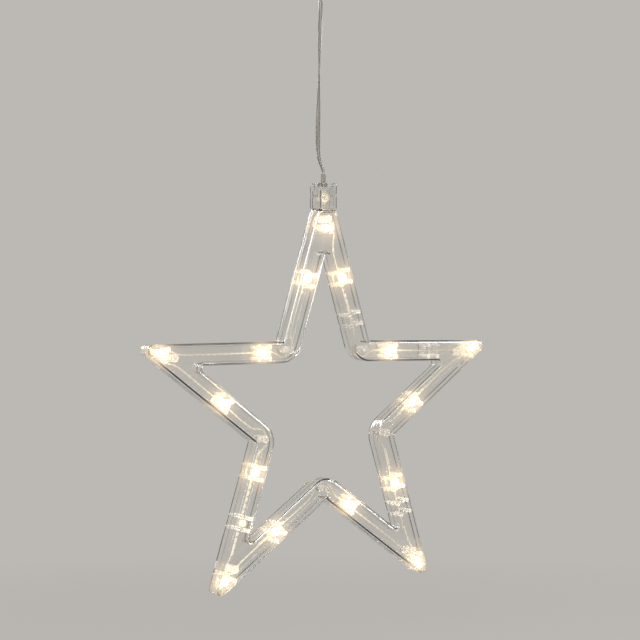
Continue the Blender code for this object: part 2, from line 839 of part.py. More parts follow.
def on_arm(index, along, across):
    """A point beside an arm's axis; across is positive clockwise."""
    axis = corner_point(index).normalized()
    return in_depth(corner_point(index) + axis * along - outward(axis) * across, 0.0)


def on_bar(index, along):
    return in_depth(corner_point(index) + bar_direction(index) * along, 0.0)


def round_bend(index):
    """Wire on the inner side of a bend's post."""
    centre = bend_centre(index)
    inward = -corner_point(index).normalized()
    reach = HALF_WIDTH + BEND_ROUND + (POST_RADIUS + HALF_WIDTH - WALL) / 2
    turns = (-BEND_TURN, 0.0, BEND_TURN)
    around = [in_depth(centre + turned_vector(inward, turn) * reach, 0.0) for turn in turns]
    before = on_bar(index - 1, bar_length(index - 1) * (1 - BEND_JOIN_SHARE))
    return [before] + around + [on_bar(index, bar_length(index) * BEND_JOIN_SHARE)]


def round_tip_post(index, hand):
    """Wire past the post of a tip, from the holder's back end to the bar on that hand."""
    back = tip_seat_out(index) - HOLDER_LENGTH / 2 - 2 * GAP
    post = post_out(index)
    beside = POST_RADIUS + WIRE_RADIUS + GAP * 2
    path = [(back, WIRE_PAIR_OFFSET), (back - WIRE_LEAVE / 2, WIRE_PAIR_OFFSET)]
    path += [(post + beside * out, beside * across) for out, across in TIP_TURN_SHARES]
    points = [on_arm(index, along, hand * across) for along, across in path]
    bar = index if hand > 0 else index - 1
    join = TIP_JOIN if hand > 0 else bar_length(bar) - TIP_JOIN
    return points + [on_bar(bar, join)]


def wire_start(station):
    """First points of the wire that leaves a lamp, clockwise."""
    kind, index, frame = station
    if kind == "tip":
        return round_tip_post(index, 1)
    end = HOLDER_LENGTH / 2 + GAP
    start = [frame @ Vector((end, 0.0, 0.0)), frame @ Vector((end + WIRE_LEAVE, 0.0, 0.0))]
    if kind == "top":
        depth_in = TOP_SEAT_DROP + TIP_JOIN
        turn = frame @ Vector((end + WIRE_LEAVE * 2, 0.0, -WIRE_DIP))
        start += [turn, on_bar(0, depth_in + WIRE_LEAVE)]
    return start


def wire_end(station):
    """Last points of the wire that reaches a lamp."""
    kind, index, frame = station
    if kind == "tip":
        return list(reversed(round_tip_post(index, -1)))
    end = -HOLDER_LENGTH / 2 - GAP
    return [frame @ Vector((end - WIRE_LEAVE, 0.0, 0.0)), frame @ Vector((end, 0.0, 0.0))]


def wire_routes():
    chain = lamp_chain()
    knot_foot = NECK_CROWN - NECK_TOP - GAP - KNOT_BALL - KNOT_BALL
    feed = [Vector((0.0, 0.0, knot_foot - GAP)), Vector((0.0, 0.0, knot_foot - GAP - WIRE_LEAVE))]
    feed += [in_depth(corner_point(0) + Vector(shares) * HALF_WIDTH, 0.0) for shares in FEED_SHARES]
    feed += wire_end(chain[0])
    routes = [feed]
    for station, following in zip(chain, chain[1:]):
        route = wire_start(station)
        if station[0] != "tip" and following[0] != "tip" and station[1] != following[1]:
            route += round_bend(following[1])
        route += wire_end(following)
        routes.append(route)
    return routes


def knot_route(stub):
    """Strand of a stopper knot round the upright axis, with straight ends a stub above and below."""
    across = (KNOT_WIDTH / 2 - KNOT_STRAND) / 3
    high = (KNOT_HEIGHT / 2 - KNOT_STRAND) / 3
    deep = KNOT_DEPTH / 2 - KNOT_STRAND
    first = 0.24
    points = []
    for number in range(KNOT_POINTS):
        turn = first + (math.tau - 2 * first) * number / (KNOT_POINTS - 1)
        reach = 2 + math.cos(3 * turn)
        right = across * reach * math.cos(2 * turn)
        up = high * reach * math.sin(2 * turn)
        points.append(Vector((right, deep * math.sin(3 * turn), up)))
    lower = [
        Vector((0.0, 0.0, -stub)),
        Vector((0.0, 0.0, KNOT_STRAND - stub)),
    ]
    lower += [Vector((across * x, deep * y, high * z)) for x, y, z in KNOT_ENTRY_SHARES]
    upper = [Vector((point.x, -point.y, -point.z)) for point in reversed(lower)]
    return lower + points + upper


# Assembly


def star_place(parent):
    """Where the star's own origin, its centre, lies in a parent's frame."""
    return Matrix.Translation(STAR_CENTRE - parent.location)


def axis_empty(name, location, group, parent=None):
    item = bpy.data.objects.new(name, None)
    item.empty_display_size = LEAD_WIDTH
    group.objects.link(item)
    item.parent = parent
    item.location = location
    return item


def build():
    clear_scene()
    parts = collection("led_christmas_star")
    cutters = collection("led_christmas_star_cutters")
    clear = material("clear_polystyrene_front", (0.93, 0.93, 0.9), 0.06, clear=0.95)
    clear_rear = material("clear_polystyrene_rear", (0.92, 0.92, 0.89), 0.07, clear=0.95)
    cap_paint = material("clear_polystyrene_cap", (0.94, 0.94, 0.92), 0.05, clear=0.95)
    sleeve_paint = material("pale_sleeve", (0.78, 0.76, 0.7), 0.4)
    lead_paint = material("clear_pvc_lead", (0.7, 0.69, 0.66), 0.25, clear=0.3)
    knot_paint = material("clear_pvc_knot", (0.72, 0.7, 0.64), 0.28, clear=0.3)
    wire_paint = material("wire_insulation", (0.75, 0.66, 0.5), 0.3)
    holder_paint = material("holder_white", (0.85, 0.83, 0.78), 0.35)
    led_paint = material("lamp_epoxy", (1.0, 0.83, 0.55), 0.12, clear=0.4)

    knot_centre = STAR_CENTRE + Vector((KNOT_CENTRE_RIGHT, 0.0, KNOT_CENTRE_UP))
    swing = axis_empty("knot_axis", knot_centre, parts)
    turn_axis = axis_empty("star_turn_axis", STAR_CENTRE + Vector((0.0, 0.0, SLEEVE_TOP)), parts)

    make_shell("front_shell", -1, False, parts, cutters, turn_axis, clear)
    make_shell("rear_shell", 1, True, parts, cutters, turn_axis, clear_rear)
    make_cap(parts, cutters, turn_axis, cap_paint)

    sleeve_base = NECK_CROWN + GAP
    profile = [
        (0.0, SLEEVE_TOP),
        (SLEEVE_TIP_RADIUS, SLEEVE_TOP),
        (SLEEVE_RADIUS, CAP_CROWN),
        (SLEEVE_RADIUS, sleeve_base),
        (0.0, sleeve_base),
    ]
    sleeve = turned_mesh("lead_sleeve", profile, POST_SIDES)
    add_object("lead_sleeve", sleeve, parts, turn_axis, star_place(turn_axis), sleeve_paint)

    knot_up = NECK_CROWN - NECK_TOP - GAP - KNOT_BALL
    knot_place = star_place(turn_axis) @ Matrix.Translation((0.0, 0.0, knot_up))
    inner_route = knot_route(KNOT_BALL) + [Vector((0.0, 0.0, NECK_CROWN - knot_up))]
    inner_knot = smooth_route(inner_route, LEAD_STEP)
    tube("strain_knot", inner_knot, KNOT_STRAND, parts, turn_axis, knot_paint, knot_place)

    led = led_mesh()
    led.materials.append(led_paint)
    holder = holder_mesh(cutters)
    holder.materials.append(holder_paint)
    lean = Matrix.Rotation(math.tau / 4, 4, "X")
    for number, (kind, index, frame) in enumerate(lamp_chain(), start=1):
        place = star_place(turn_axis) @ frame
        add_object(f"lamp_holder_{number:02d}", holder, parts, turn_axis, place)
        add_object(f"led_{number:02d}", led, parts, turn_axis, place @ lean)
    for number, route in enumerate(wire_routes(), start=1):
        smooth = smooth_route(route, WIRE_STEP)
        place = star_place(turn_axis)
        tube(f"wire_{number:02d}", smooth, WIRE_RADIUS, parts, turn_axis, wire_paint, place, TUBE_FINENESS)

    flat = Matrix.Diagonal((1.0, LEAD_WIDTH / LEAD_THICKNESS, 1.0, 1.0))
    sleeve_top = Matrix.Translation(STAR_CENTRE + Vector((0.0, 0.0, SLEEVE_TOP + GAP)) - swing.location)
    lead_points = [in_depth(point, 0.0) for point in LEAD_ROUTE]
    lead_points[-1].z -= GAP
    lead_route = smooth_route(lead_points, LEAD_STEP)
    tube("suspension_lead", lead_route, LEAD_THICKNESS / 2, parts, swing, lead_paint, sleeve_top @ flat)

    upper_knot = smooth_route(knot_route(KNOT_BALL), LEAD_STEP)
    tube("loop_knot", upper_knot, KNOT_STRAND, parts, swing, knot_paint, Matrix.Identity(4))

    right_side = [in_depth((right, KNOT_BALL + up), 0.0) for right, up in LOOP_ROUTE]
    left_side = [Vector((-point.x, point.y, point.z)) for point in right_side[:-1]]
    loop_route = smooth_route(left_side + list(reversed(right_side)), LEAD_STEP)
    tube("hanging_loop", loop_route, LEAD_THICKNESS / 2, parts, swing, lead_paint, flat)


build()
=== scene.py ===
import math

import bpy
import bmesh
import numpy as np
from mathutils import Matrix, Vector


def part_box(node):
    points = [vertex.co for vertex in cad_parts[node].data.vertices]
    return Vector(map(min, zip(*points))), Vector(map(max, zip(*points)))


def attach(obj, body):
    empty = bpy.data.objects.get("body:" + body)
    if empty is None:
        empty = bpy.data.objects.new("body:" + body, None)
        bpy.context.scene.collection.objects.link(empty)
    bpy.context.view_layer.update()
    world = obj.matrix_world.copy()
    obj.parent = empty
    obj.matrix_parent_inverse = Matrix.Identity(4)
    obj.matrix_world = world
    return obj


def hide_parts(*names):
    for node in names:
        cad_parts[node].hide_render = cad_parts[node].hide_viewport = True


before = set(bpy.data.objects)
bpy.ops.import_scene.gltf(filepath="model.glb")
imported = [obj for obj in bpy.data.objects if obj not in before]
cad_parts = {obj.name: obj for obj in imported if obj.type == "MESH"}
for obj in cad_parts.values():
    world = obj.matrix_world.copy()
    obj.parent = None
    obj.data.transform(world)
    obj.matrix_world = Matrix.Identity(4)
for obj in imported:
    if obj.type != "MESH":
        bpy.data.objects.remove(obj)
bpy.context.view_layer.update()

# A hanging Christmas star of clear moulded tube with warm lamps inside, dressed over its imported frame.
# Lengths are in metres. Plan coordinates are (right, up) about the star's centre; depth runs back along +Y.

starShape = {
    "tipRadius": 0.119,
    "topTipRadius": 0.125,
    "bendRadius": 0.0464,
    "halfWidth": 0.0066,
    "halfDepth": 0.0069,
    "wall": 0.0015,
    "edgeRound": 0.003,
    "tipRound": 0.0036,
    "notchRound": 0.0019,
    "bendRound": 0.001,
    "shoulderRound": 0.002,
    "smallestRound": 0.0001,
    "shoulderHeight": 0.1262,
    "neckCrown": 0.1394,
    "seam": 0.00015,
    "lipHeight": 0.0012,
    "lipThickness": 0.0006,
    "tipCount": 12,
    "bendCount": 16,
    "edgeCount": 9,
    "innerEdgeCount": 6,
    "flatCount": 5,
    "alongStep": 0.004,
}
overlap = 0.001  # how far a cutter reaches past the wall that it cuts
touch = 0.0003  # air between neighbouring parts

shellLow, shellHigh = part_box("front_shell")
centre = np.array([(shellLow[0] + shellHigh[0]) / 2, 0.0, shellHigh[2] - starShape["neckCrown"]])


# Helpers that turn points into meshes and pieces.


def inPlace(plan, depth):  # plan points (n, 2) and a depth, as points of the scene
    plan = np.asarray(plan, dtype=float)
    deep = np.broadcast_to(depth, plan.shape[:-1])
    return np.stack([plan[..., 0], deep, plan[..., 1]], axis=-1) + centre


def newMesh(name, points, faces):
    mesh = bpy.data.meshes.new(name)
    mesh.from_pydata(np.asarray(points).reshape(-1, 3).tolist(), [], faces)
    return mesh


def cleanMesh(mesh, mergeDistance=2e-6):  # doubles merged, faces out
    bm = bmesh.new()
    bm.from_mesh(mesh)
    bmesh.ops.remove_doubles(bm, verts=bm.verts, dist=mergeDistance)
    bmesh.ops.dissolve_degenerate(bm, edges=bm.edges, dist=mergeDistance)
    bmesh.ops.recalc_face_normals(bm, faces=bm.faces)
    bm.to_mesh(mesh)
    bm.free()
    return mesh


def gridFaces(rows, columns, closeRows):
    # quads of a grid whose columns close, as one array: row r and column c join their next neighbours
    r, c = np.meshgrid(np.arange(rows if closeRows else rows - 1), np.arange(columns), indexing="ij")
    r2, c2 = (r + 1) % rows, (c + 1) % columns
    quads = np.stack([r * columns + c, r * columns + c2, r2 * columns + c2, r2 * columns + c], axis=-1)
    return quads.reshape(-1, 4).tolist()


def surface(name, points, closeRows=False, capEnds=False):
    # mesh through a grid of points (rows, columns, 3); capEnds shuts the first and the last row
    rows, columns = points.shape[:2]
    faces = gridFaces(rows, columns, closeRows)
    if capEnds:
        faces += [list(range(columns)), list(range((rows - 1) * columns, rows * columns))]
    return cleanMesh(newMesh(name, points, faces))


creases = {"plain": 40, "shell": 32, "small": 50}  # degrees past which an edge shows sharp


def addPiece(name, mesh, body, material, replaces, crease=creases["plain"]):
    # piece with one finish or a list of them, the nodes that it stands for, its slot and its body
    mesh.shade_smooth()
    mesh.set_sharp_from_angle(angle=math.radians(crease))
    piece = bpy.data.objects.new(name, mesh)
    bpy.context.scene.collection.objects.link(piece)
    slotNumbers = np.zeros(len(mesh.polygons), dtype=np.int32)
    mesh.polygons.foreach_get("material_index", slotNumbers)
    mesh.materials.clear()  # this also sets every face back to the first slot
    for each in material if isinstance(material, list) else [material]:
        mesh.materials.append(each)
    mesh.polygons.foreach_set("material_index", slotNumbers)
    if replaces:
        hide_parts(*replaces)
    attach(piece, body)
    return piece


def combined(name, base, tools, slots=()):
    # base mesh with each (mesh, operation) applied in turn; a face keeps the slot number of the mesh
    # that it comes from
    for each in slots:
        base.materials.append(each)
    holder = bpy.data.objects.new(name, base)
    bpy.context.scene.collection.objects.link(holder)
    helpers = []
    for mesh, operation in tools:
        helper = bpy.data.objects.new(mesh.name, mesh)
        bpy.context.scene.collection.objects.link(helper)
        helpers.append(helper)
        step = holder.modifiers.new(mesh.name, "BOOLEAN")
        step.object = helper
        step.operation = operation
        step.solver = "MANIFOLD"
    bpy.context.view_layer.update()
    graph = bpy.context.evaluated_depsgraph_get()
    made = bpy.data.meshes.new_from_object(holder.evaluated_get(graph))
    made.name = name
    for item in helpers + [holder]:
        bpy.data.objects.remove(item, do_unlink=True)
    return made


def joinedMesh(name, meshes, slots=()):  # several closed meshes as one mesh, in the last of the slots
    bm = bmesh.new()
    for mesh in meshes:
        bm.from_mesh(mesh)
    made = bpy.data.meshes.new(name)
    bm.to_mesh(made)
    bm.free()
    for each in slots:
        made.materials.append(each)
    if slots:
        last = np.full(len(made.polygons), len(slots) - 1, dtype=np.int32)
        made.polygons.foreach_set("material_index", last)
    return made


def smoothPath(points, samples):
    # smooth curve through the points, blended three times over and paced by the root of their spacing
    points = np.asarray(points, dtype=float)
    ends = np.vstack([2 * points[0] - points[1], points, 2 * points[-1] - points[-2]])
    spans = []
    for k in range(len(points) - 1):
        p = ends[k:k + 4]
        marks = np.concatenate([[0], np.cumsum(np.sqrt(np.linalg.norm(np.diff(p, axis=0), axis=1)))])
        t = np.linspace(marks[1], marks[2], samples, endpoint=False)[:, None]

        def mix(a, b, i, j):
            return a + (b - a) * (t - marks[i]) / (marks[j] - marks[i])

        first, second, third = mix(p[0], p[1], 0, 1), mix(p[1], p[2], 1, 2), mix(p[2], p[3], 2, 3)
        spans.append(mix(mix(first, second, 0, 2), mix(second, third, 1, 3), 1, 2))
    return np.vstack(spans + [points[-1:]])


def evenPath(path, step):  # the same path with points a step apart
    gone = np.concatenate([[0], np.cumsum(np.linalg.norm(np.diff(path, axis=0), axis=1))])
    wanted = np.linspace(0, gone[-1], max(3, int(round(gone[-1] / step)) + 1))
    return np.stack([np.interp(wanted, gone, path[:, k]) for k in range(3)], axis=1)


def pathLength(path):  # sum of the distances from point to point
    return float(np.linalg.norm(np.diff(path, axis=0), axis=1).sum())


def sweptTube(name, path, profile, angle=0.0, towards=(0.0, 1.0, 0.0), shift=(0.0, 0.0)):
    # profile (k, 2) carried along the path, shifted in its own plane and turned by angle about the path;
    # its first axis starts towards a side
    path, towards = np.asarray(path, dtype=float), np.asarray(towards, dtype=float)
    run = np.gradient(path, axis=0)
    run /= np.linalg.norm(run, axis=1)[:, None]
    side = towards[None, :] - run * (run @ towards)[:, None]
    side /= np.linalg.norm(side, axis=1)[:, None]
    other = np.cross(run, side)
    angle = np.broadcast_to(angle, len(path))
    first = side * np.cos(angle)[:, None] + other * np.sin(angle)[:, None]
    second = np.cross(run, first)
    moved = profile + np.asarray(shift)
    points = path[:, None] + first[:, None] * moved[None, :, 0:1] + second[:, None] * moved[None, :, 1:2]
    return surface(name, points, capEnds=True)


def circle(radius, count):  # cosine and sine of a whole turn, times the radius
    turn = np.linspace(0, math.tau, count, endpoint=False)
    return np.stack([np.cos(turn), np.sin(turn)], axis=1) * radius


def quarterArc(radius, count):  # cosine and sine of a quarter turn, times the radius
    turn = np.linspace(0, math.tau / 4, count)
    return np.stack([np.cos(turn), np.sin(turn)], axis=1) * radius


def barrelMesh(name, start, end, rings, count=28):
    # rings of (radius, share along the axis) turned about the line from start to end
    start, end = np.asarray(start, dtype=float), np.asarray(end, dtype=float)
    axis = end - start
    run = axis / np.linalg.norm(axis)
    upright = abs(run[2]) >= 0.9
    side = np.cross(run, [1.0, 0.0, 0.0] if upright else [0.0, 0.0, 1.0])
    side /= np.linalg.norm(side)
    other = np.cross(run, side)
    turn = np.linspace(0, math.tau, count, endpoint=False)
    ring = np.cos(turn)[:, None] * side + np.sin(turn)[:, None] * other
    points = np.stack([start + axis * share + ring * radius for radius, share in rings])
    return surface(name, points, capEnds=True)


def boxPlan(low, high, radius, squareSide=None, count=7):
    # plan of a box between two corners, anticlockwise: each corner an arc, or a point at the square side
    arc = quarterArc(radius, count)
    parts = []
    back = arc[::-1]
    for x, y, turned in ((1, 1, arc), (-1, 1, back * [-1, 1]), (-1, -1, -arc), (1, -1, back * [1, -1])):
        corner = np.array([high[0] if x > 0 else low[0], high[1] if y > 0 else low[1]])
        square = radius == 0 or (squareSide is not None and np.isclose(corner[1], squareSide))
        parts.append(corner[None, :] if square else turned + corner - [x * radius, y * radius])
    return np.vstack(parts)


def boxMesh(name, low, high, radius=0.0, squareSide=None):
    # plan of a box carried straight up from the lower corner's height to the upper one's
    plan = boxPlan(low, high, radius, squareSide)
    layers = [np.column_stack([plan, np.full(len(plan), height)]) for height in (low[2], high[2])]
    return surface(name, np.stack(layers), capEnds=True)


# The star's plan: ten corners, and the tube's outline at any distance from its centre line.


cornerTurn = np.arange(10) * math.tau / 10
cornerReach = np.where(np.arange(10) % 2, starShape["bendRadius"], starShape["tipRadius"])
cornerReach[0] = starShape["topTipRadius"]
corners = np.stack([np.sin(cornerTurn), np.cos(cornerTurn)], axis=1) * cornerReach[:, None]
barRun = np.roll(corners, -1, axis=0) - corners
barLength = np.linalg.norm(barRun, axis=1)
barRun = barRun / barLength[:, None]
barSide = np.stack([-barRun[:, 1], barRun[:, 0]], axis=1)


def rotated(vector, angle):  # plan vector turned anticlockwise
    cosine, sine = math.cos(angle), math.sin(angle)
    return np.array([vector[0] * cosine - vector[1] * sine, vector[0] * sine + vector[1] * cosine])


def mitre(before, after):  # corner of two lines that lie one unit out, by their normals
    return (before + after) / (1 + before @ after)


def fillet(corner, offset, before, after, radius, count):
    # arc between two lines moved outward by offset: its centre lies on the corner's mitre, and it is swept
    # from one normal to the next
    middle = corner + mitre(before, after) * (offset - radius)
    sweep = math.atan2(before[0] * after[1] - before[1] * after[0], before @ after)
    turn = np.linspace(0, sweep, count)
    normal = np.stack([before[0] * np.cos(turn) - before[1] * np.sin(turn),
                       before[0] * np.sin(turn) + before[1] * np.cos(turn)], axis=1)
    return middle + normal * radius


def topShoulders(offset):
    # the top arm cut level below its neck, with one small fillet at either shoulder
    s = starShape
    up = np.array([0.0, 1.0])
    height = s["shoulderHeight"] - s["halfWidth"]
    radius = max(s["shoulderRound"] - (s["halfWidth"] - offset), s["smallestRound"])
    halves = []
    for run, before, after in ((barRun[-1], barSide[-1], up), (barRun[0], up, barSide[0])):
        shoulder = corners[0] + run * ((height - corners[0][1]) / run[1])
        halves.append(fillet(shoulder, offset, before, after, radius, s["tipCount"] // 2))
    return np.vstack(halves)


def starRing(offset):
    # closed outline of the star, offset outward from the tube's centre line, with rounded tips and bends
    s = starShape
    arcs = []
    for k in range(10):
        if k % 2:
            radius = -(s["bendRound"] + s["halfWidth"] - offset)
        elif offset < 0:
            radius = s["notchRound"] + s["halfWidth"] + offset
        else:
            radius = max(s["tipRound"] - (s["halfWidth"] - offset), s["smallestRound"])
        count = s["bendCount"] if k % 2 else s["tipCount"]
        if k == 0 and offset >= 0:
            arcs.append(topShoulders(offset))
        else:
            arcs.append(fillet(corners[k], offset, barSide[k - 1], barSide[k], radius, count))
    ring = []
    for k in range(10):
        count = int(barLength[k] / s["alongStep"])
        share = np.linspace(0, 1, count + 2)[1:-1, None]
        ring += [arcs[k], arcs[k][-1] + (arcs[(k + 1) % 10][0] - arcs[k][-1]) * share]
    return np.vstack(ring)


def shellSection(tongue):
    # closed section of one half as (offset, distance from the middle plane): outer wall, then inner wall
    s = starShape
    side, face = s["halfWidth"] - s["edgeRound"], s["halfDepth"] - s["edgeRound"]
    inner = s["halfWidth"] - s["wall"]
    flat = np.linspace(side, -side, s["flatCount"] + 1)[1:-1]
    outerArc = quarterArc(s["edgeRound"], s["edgeCount"]) + [side, face]
    outerHalf = np.vstack([[s["halfWidth"], s["seam"]], outerArc])
    outerFlat = np.stack([flat, np.full(len(flat), s["halfDepth"])], axis=1)
    outer = np.vstack([outerHalf, outerFlat, outerHalf[::-1] * [-1, 1]])
    step = inner + s["lipThickness"] if tongue else s["halfWidth"] - s["lipThickness"]
    reach = s["seam"] - s["lipHeight"] if tongue else s["seam"] + s["lipHeight"]
    rim = [[step, s["seam"]], [step, reach], [inner, reach]]
    innerArc = quarterArc(s["edgeRound"] - s["wall"], s["innerEdgeCount"]) + [side, face]
    insideHalf = np.vstack([rim, innerArc])
    insideFlat = np.stack([flat, np.full(len(flat), s["halfDepth"] - s["wall"])], axis=1)
    inside = np.vstack([insideHalf, insideFlat, insideHalf[::-1] * [-1, 1]])
    return np.vstack([outer, inside[::-1]])


# Where lamps, seats and posts sit along the tube.


lampSpots = {
    "shares": [(0.47,), (0.255,), (0.65,), (0.40,), (0.743,), (0.52,), (0.38, 0.746), (0.436,), (0.777,),
               (0.513,)],
    "spareShares": [(0.77,), (0.647,), (), (0.60,), (), (), (), (), (), ()],
    "topDrop": 0.0106,
    "tipOut": 0.00413,
    "ribSpacing": 0.0074,
    "ribThickness": 0.0009,
    "ribChamfer": 0.0015,
    "lipClear": 0.00135,
    "topRibHalf": 0.00355,
    "notch": 0.002,
    "notchCount": 14,
    "bite": 0.6,
    "pegShare": 0.9,
    "pegTaper": [(0.86, 0.0), (1.0, 0.04), (1.06, 1.0)],
    "clearance": 0.0003,
    "postRadius": 0.0023,
    "postTaper": [(0.94, 0.0), (1.0, 0.04), (1.05, 1.0)],
    "postOut": -0.00507,
    "topPostOut": -0.005,
}
ribFloor = starShape["halfDepth"] - starShape["wall"] * lampSpots["bite"]  # depth where ribs and pegs end


def outwardOf(k):  # direction from the star's centre through a corner
    return corners[k] / np.linalg.norm(corners[k])


def lampChain():
    # (kind, corner or bar, plan point, run direction) of the sixteen lamps, clockwise from the top
    chain = [("top", 0, corners[0] - [0.0, lampSpots["topDrop"]], np.array([1.0, 0.0]))]
    for k in range(10):
        if k and k % 2 == 0:
            chain.append(("tip", k, corners[k] + outwardOf(k) * lampSpots["tipOut"], outwardOf(k)))
        for share in lampSpots["shares"][k]:
            chain.append(("bar", k, corners[k] + barRun[k] * barLength[k] * share, barRun[k]))
    return chain


lamps = lampChain()


def bendCentre(k):  # centre of the rounding at an inner corner, which lies outside the tube
    return corners[k] + mitre(barSide[k - 1], barSide[k]) * (starShape["halfWidth"] + starShape["bendRound"])


def armHalfWidth(k, along, inset):  # half width inside a tip, along its axis from the corner
    half = math.acos(-outwardOf(k) @ barRun[k])
    return ((starShape["halfWidth"] - inset) / math.sin(half) - along) * math.tan(half)


# Finishes.


def nodeMaterial(name):
    made = bpy.data.materials.new(name)
    made.use_nodes = True
    tree = made.node_tree
    return made, tree, tree.nodes["Principled BSDF"]


def link(tree, source, target):
    tree.links.new(source, target)


def addNode(tree, kind, **values):
    node = tree.nodes.new(kind)
    for key, value in values.items():
        setattr(node, key, value)
    return node


def noise(tree, scale, detail):
    made = addNode(tree, "ShaderNodeTexNoise")
    made.inputs["Scale"].default_value = scale
    made.inputs["Detail"].default_value = detail
    link(tree, addNode(tree, "ShaderNodeTexCoord").outputs["Object"], made.inputs["Vector"])
    return made.outputs["Fac"]


def mapped(tree, source, low, high, fromLow=0.0, fromHigh=1.0):
    made = addNode(tree, "ShaderNodeMapRange")
    made.inputs["From Min"].default_value = fromLow
    made.inputs["From Max"].default_value = fromHigh
    made.inputs["To Min"].default_value = low
    made.inputs["To Max"].default_value = high
    link(tree, source, made.inputs["Value"])
    return made.outputs["Result"]


def mathNode(tree, operation, first, second, clamp=False):  # second is a number or a socket
    made = addNode(tree, "ShaderNodeMath", operation=operation, use_clamp=clamp)
    link(tree, first, made.inputs[0])
    if isinstance(second, float):
        made.inputs[1].default_value = second
    else:
        link(tree, second, made.inputs[1])
    return made.outputs["Value"]


def colourRamp(tree, source, stops):
    made = addNode(tree, "ShaderNodeValToRGB")
    ramp = made.color_ramp
    while len(ramp.elements) < len(stops):
        ramp.elements.new(0.5)
    for element, (place, colour) in zip(ramp.elements, stops):
        element.position = place
        element.color = (*colour, 1.0)
    link(tree, source, made.inputs["Fac"])
    return made.outputs["Color"]


def twoTone(tree, source, low, high):  # a noise as a drift between two colours
    return colourRamp(tree, source, [(0.3, low), (0.7, high)])


def bumped(tree, shader, height, strength, distance):
    made = addNode(tree, "ShaderNodeBump")
    made.inputs["Strength"].default_value = strength
    made.inputs["Distance"].default_value = distance
    link(tree, height, made.inputs["Height"])
    link(tree, made.outputs["Normal"], shader.inputs["Normal"])


# painted lamp light: colours, reaches and strengths of the glow painted as emission on the tube and the
# parts around each lamp
paintedGlowLook = {
    "reach": 0.018,
    "sharpness": 2.2,
    "strength": 0.19,
    "near": (1.0, 0.80, 0.50),
    "far": (1.0, 0.58, 0.24),
    "stops": (0.02, 0.6, 0.95),
    "coreReach": 0.0075,
    "coreSharpness": 1.5,
    "coreStrength": 0.15,
    "spreadReach": 0.045,
    "spreadSharpness": 1.5,
    "spreadStrength": 0.10,
    "spreadColour": (1.0, 0.90, 0.74),
    "lampDepth": -0.0028,
    "dimLamp": 10,
    "dimShare": 0.22,
}


def paintedGlowGroup():
    # painted lamp glow mask: (sum over the lamps of 1 - distance / reach, never below zero) to a power, as a
    # node group
    look = paintedGlowLook
    group = bpy.data.node_groups.new("paintedLampGlow", "ShaderNodeTree")
    for name in ("Glow", "Core", "Spread"):
        group.interface.new_socket(name, in_out="OUTPUT", socket_type="NodeSocketFloat")
    out = addNode(group, "NodeGroupOutput")
    coords = addNode(group, "ShaderNodeTexCoord")
    gaps = []
    for kind, k, point, run in lamps:
        gap = addNode(group, "ShaderNodeVectorMath", operation="DISTANCE")
        gap.inputs[1].default_value = inPlace(point[None, :], look["lampDepth"])[0]
        link(group, coords.outputs["Object"], gap.inputs[0])
        gaps.append(gap.outputs["Value"])
    for output, reach, power in (("Glow", look["reach"], look["sharpness"]),
                                 ("Core", look["coreReach"], look["coreSharpness"]),
                                 ("Spread", look["spreadReach"], look["spreadSharpness"])):
        total = None
        for number, gap in enumerate(gaps):
            most = look["dimShare"] if number == look["dimLamp"] else 1.0
            share = mapped(group, gap, most, 0.0, 0.0, reach)
            total = share if total is None else mathNode(group, "ADD", total, share)
        link(group, mathNode(group, "POWER", total, power), out.inputs[output])
    return group


paintedLampGlow = paintedGlowGroup()


def paintedLampLight(tree, shader, paintedGlow, paintedSpread):  # painted lamp light: warm emission by distance from the lamps nearby, and painted light that the tube carries further
    look = paintedGlowLook
    group = addNode(tree, "ShaderNodeGroup", node_tree=paintedLampGlow)
    start = look["spreadColour"] if paintedSpread else look["far"]
    stops = list(zip(look["stops"], (start, look["near"], look["spreadColour"])))
    link(tree, colourRamp(tree, group.outputs["Glow"], stops), shader.inputs["Emission Color"])
    strength = None
    for output, share in (("Glow", look["strength"] * paintedGlow), ("Core", look["coreStrength"] * paintedGlow),
                          ("Spread", look["spreadStrength"] * paintedSpread)):
        if share:
            part = mapped(tree, group.outputs[output], 0.0, share)
            strength = part if strength is None else mathNode(tree, "ADD", strength, part)
    link(tree, strength, shader.inputs["Emission Strength"])


clearLook = {
    "ior": 1.55,
    "haze": (120.0, 3.0),
    "hazeRange": (0.35, 0.7),
    "flow": (38.0, 2.0),
    "flowGain": 1.05,
    "wave": (90.0, 1.0),
    "waveBump": (0.06, 0.0006),
}


def clearPlastic(name, tint, roughness, paintedGlow=1.0, paintedSpread=0.0, clear=1.0):
    # clear plastic with faint moulding flow in its tint, haze in its gloss and waves in its surface, plus
    # painted lamp light as emission unless paintedGlow is zero
    look = clearLook
    made, tree, shader = nodeMaterial(name)
    shader.inputs["Transmission Weight"].default_value = clear
    shader.inputs["IOR"].default_value = look["ior"]
    haze = noise(tree, *look["haze"])
    link(tree, mapped(tree, haze, *roughness, *look["hazeRange"]), shader.inputs["Roughness"])
    lighter = tuple(min(1.0, c * look["flowGain"]) for c in tint)
    link(tree, twoTone(tree, noise(tree, *look["flow"]), tint, lighter), shader.inputs["Base Color"])
    bumped(tree, shader, noise(tree, *look["wave"]), *look["waveBump"])
    if paintedGlow:
        paintedLampLight(tree, shader, paintedGlow, paintedSpread)
    return made


pigmentLook = {
    "detail": 3.0,
    "roughRange": (0.8, 1.25),
    "bumpScale": 2.5,
    "bumpDetail": 2.0,
    "bump": (0.1, 0.0002),
}


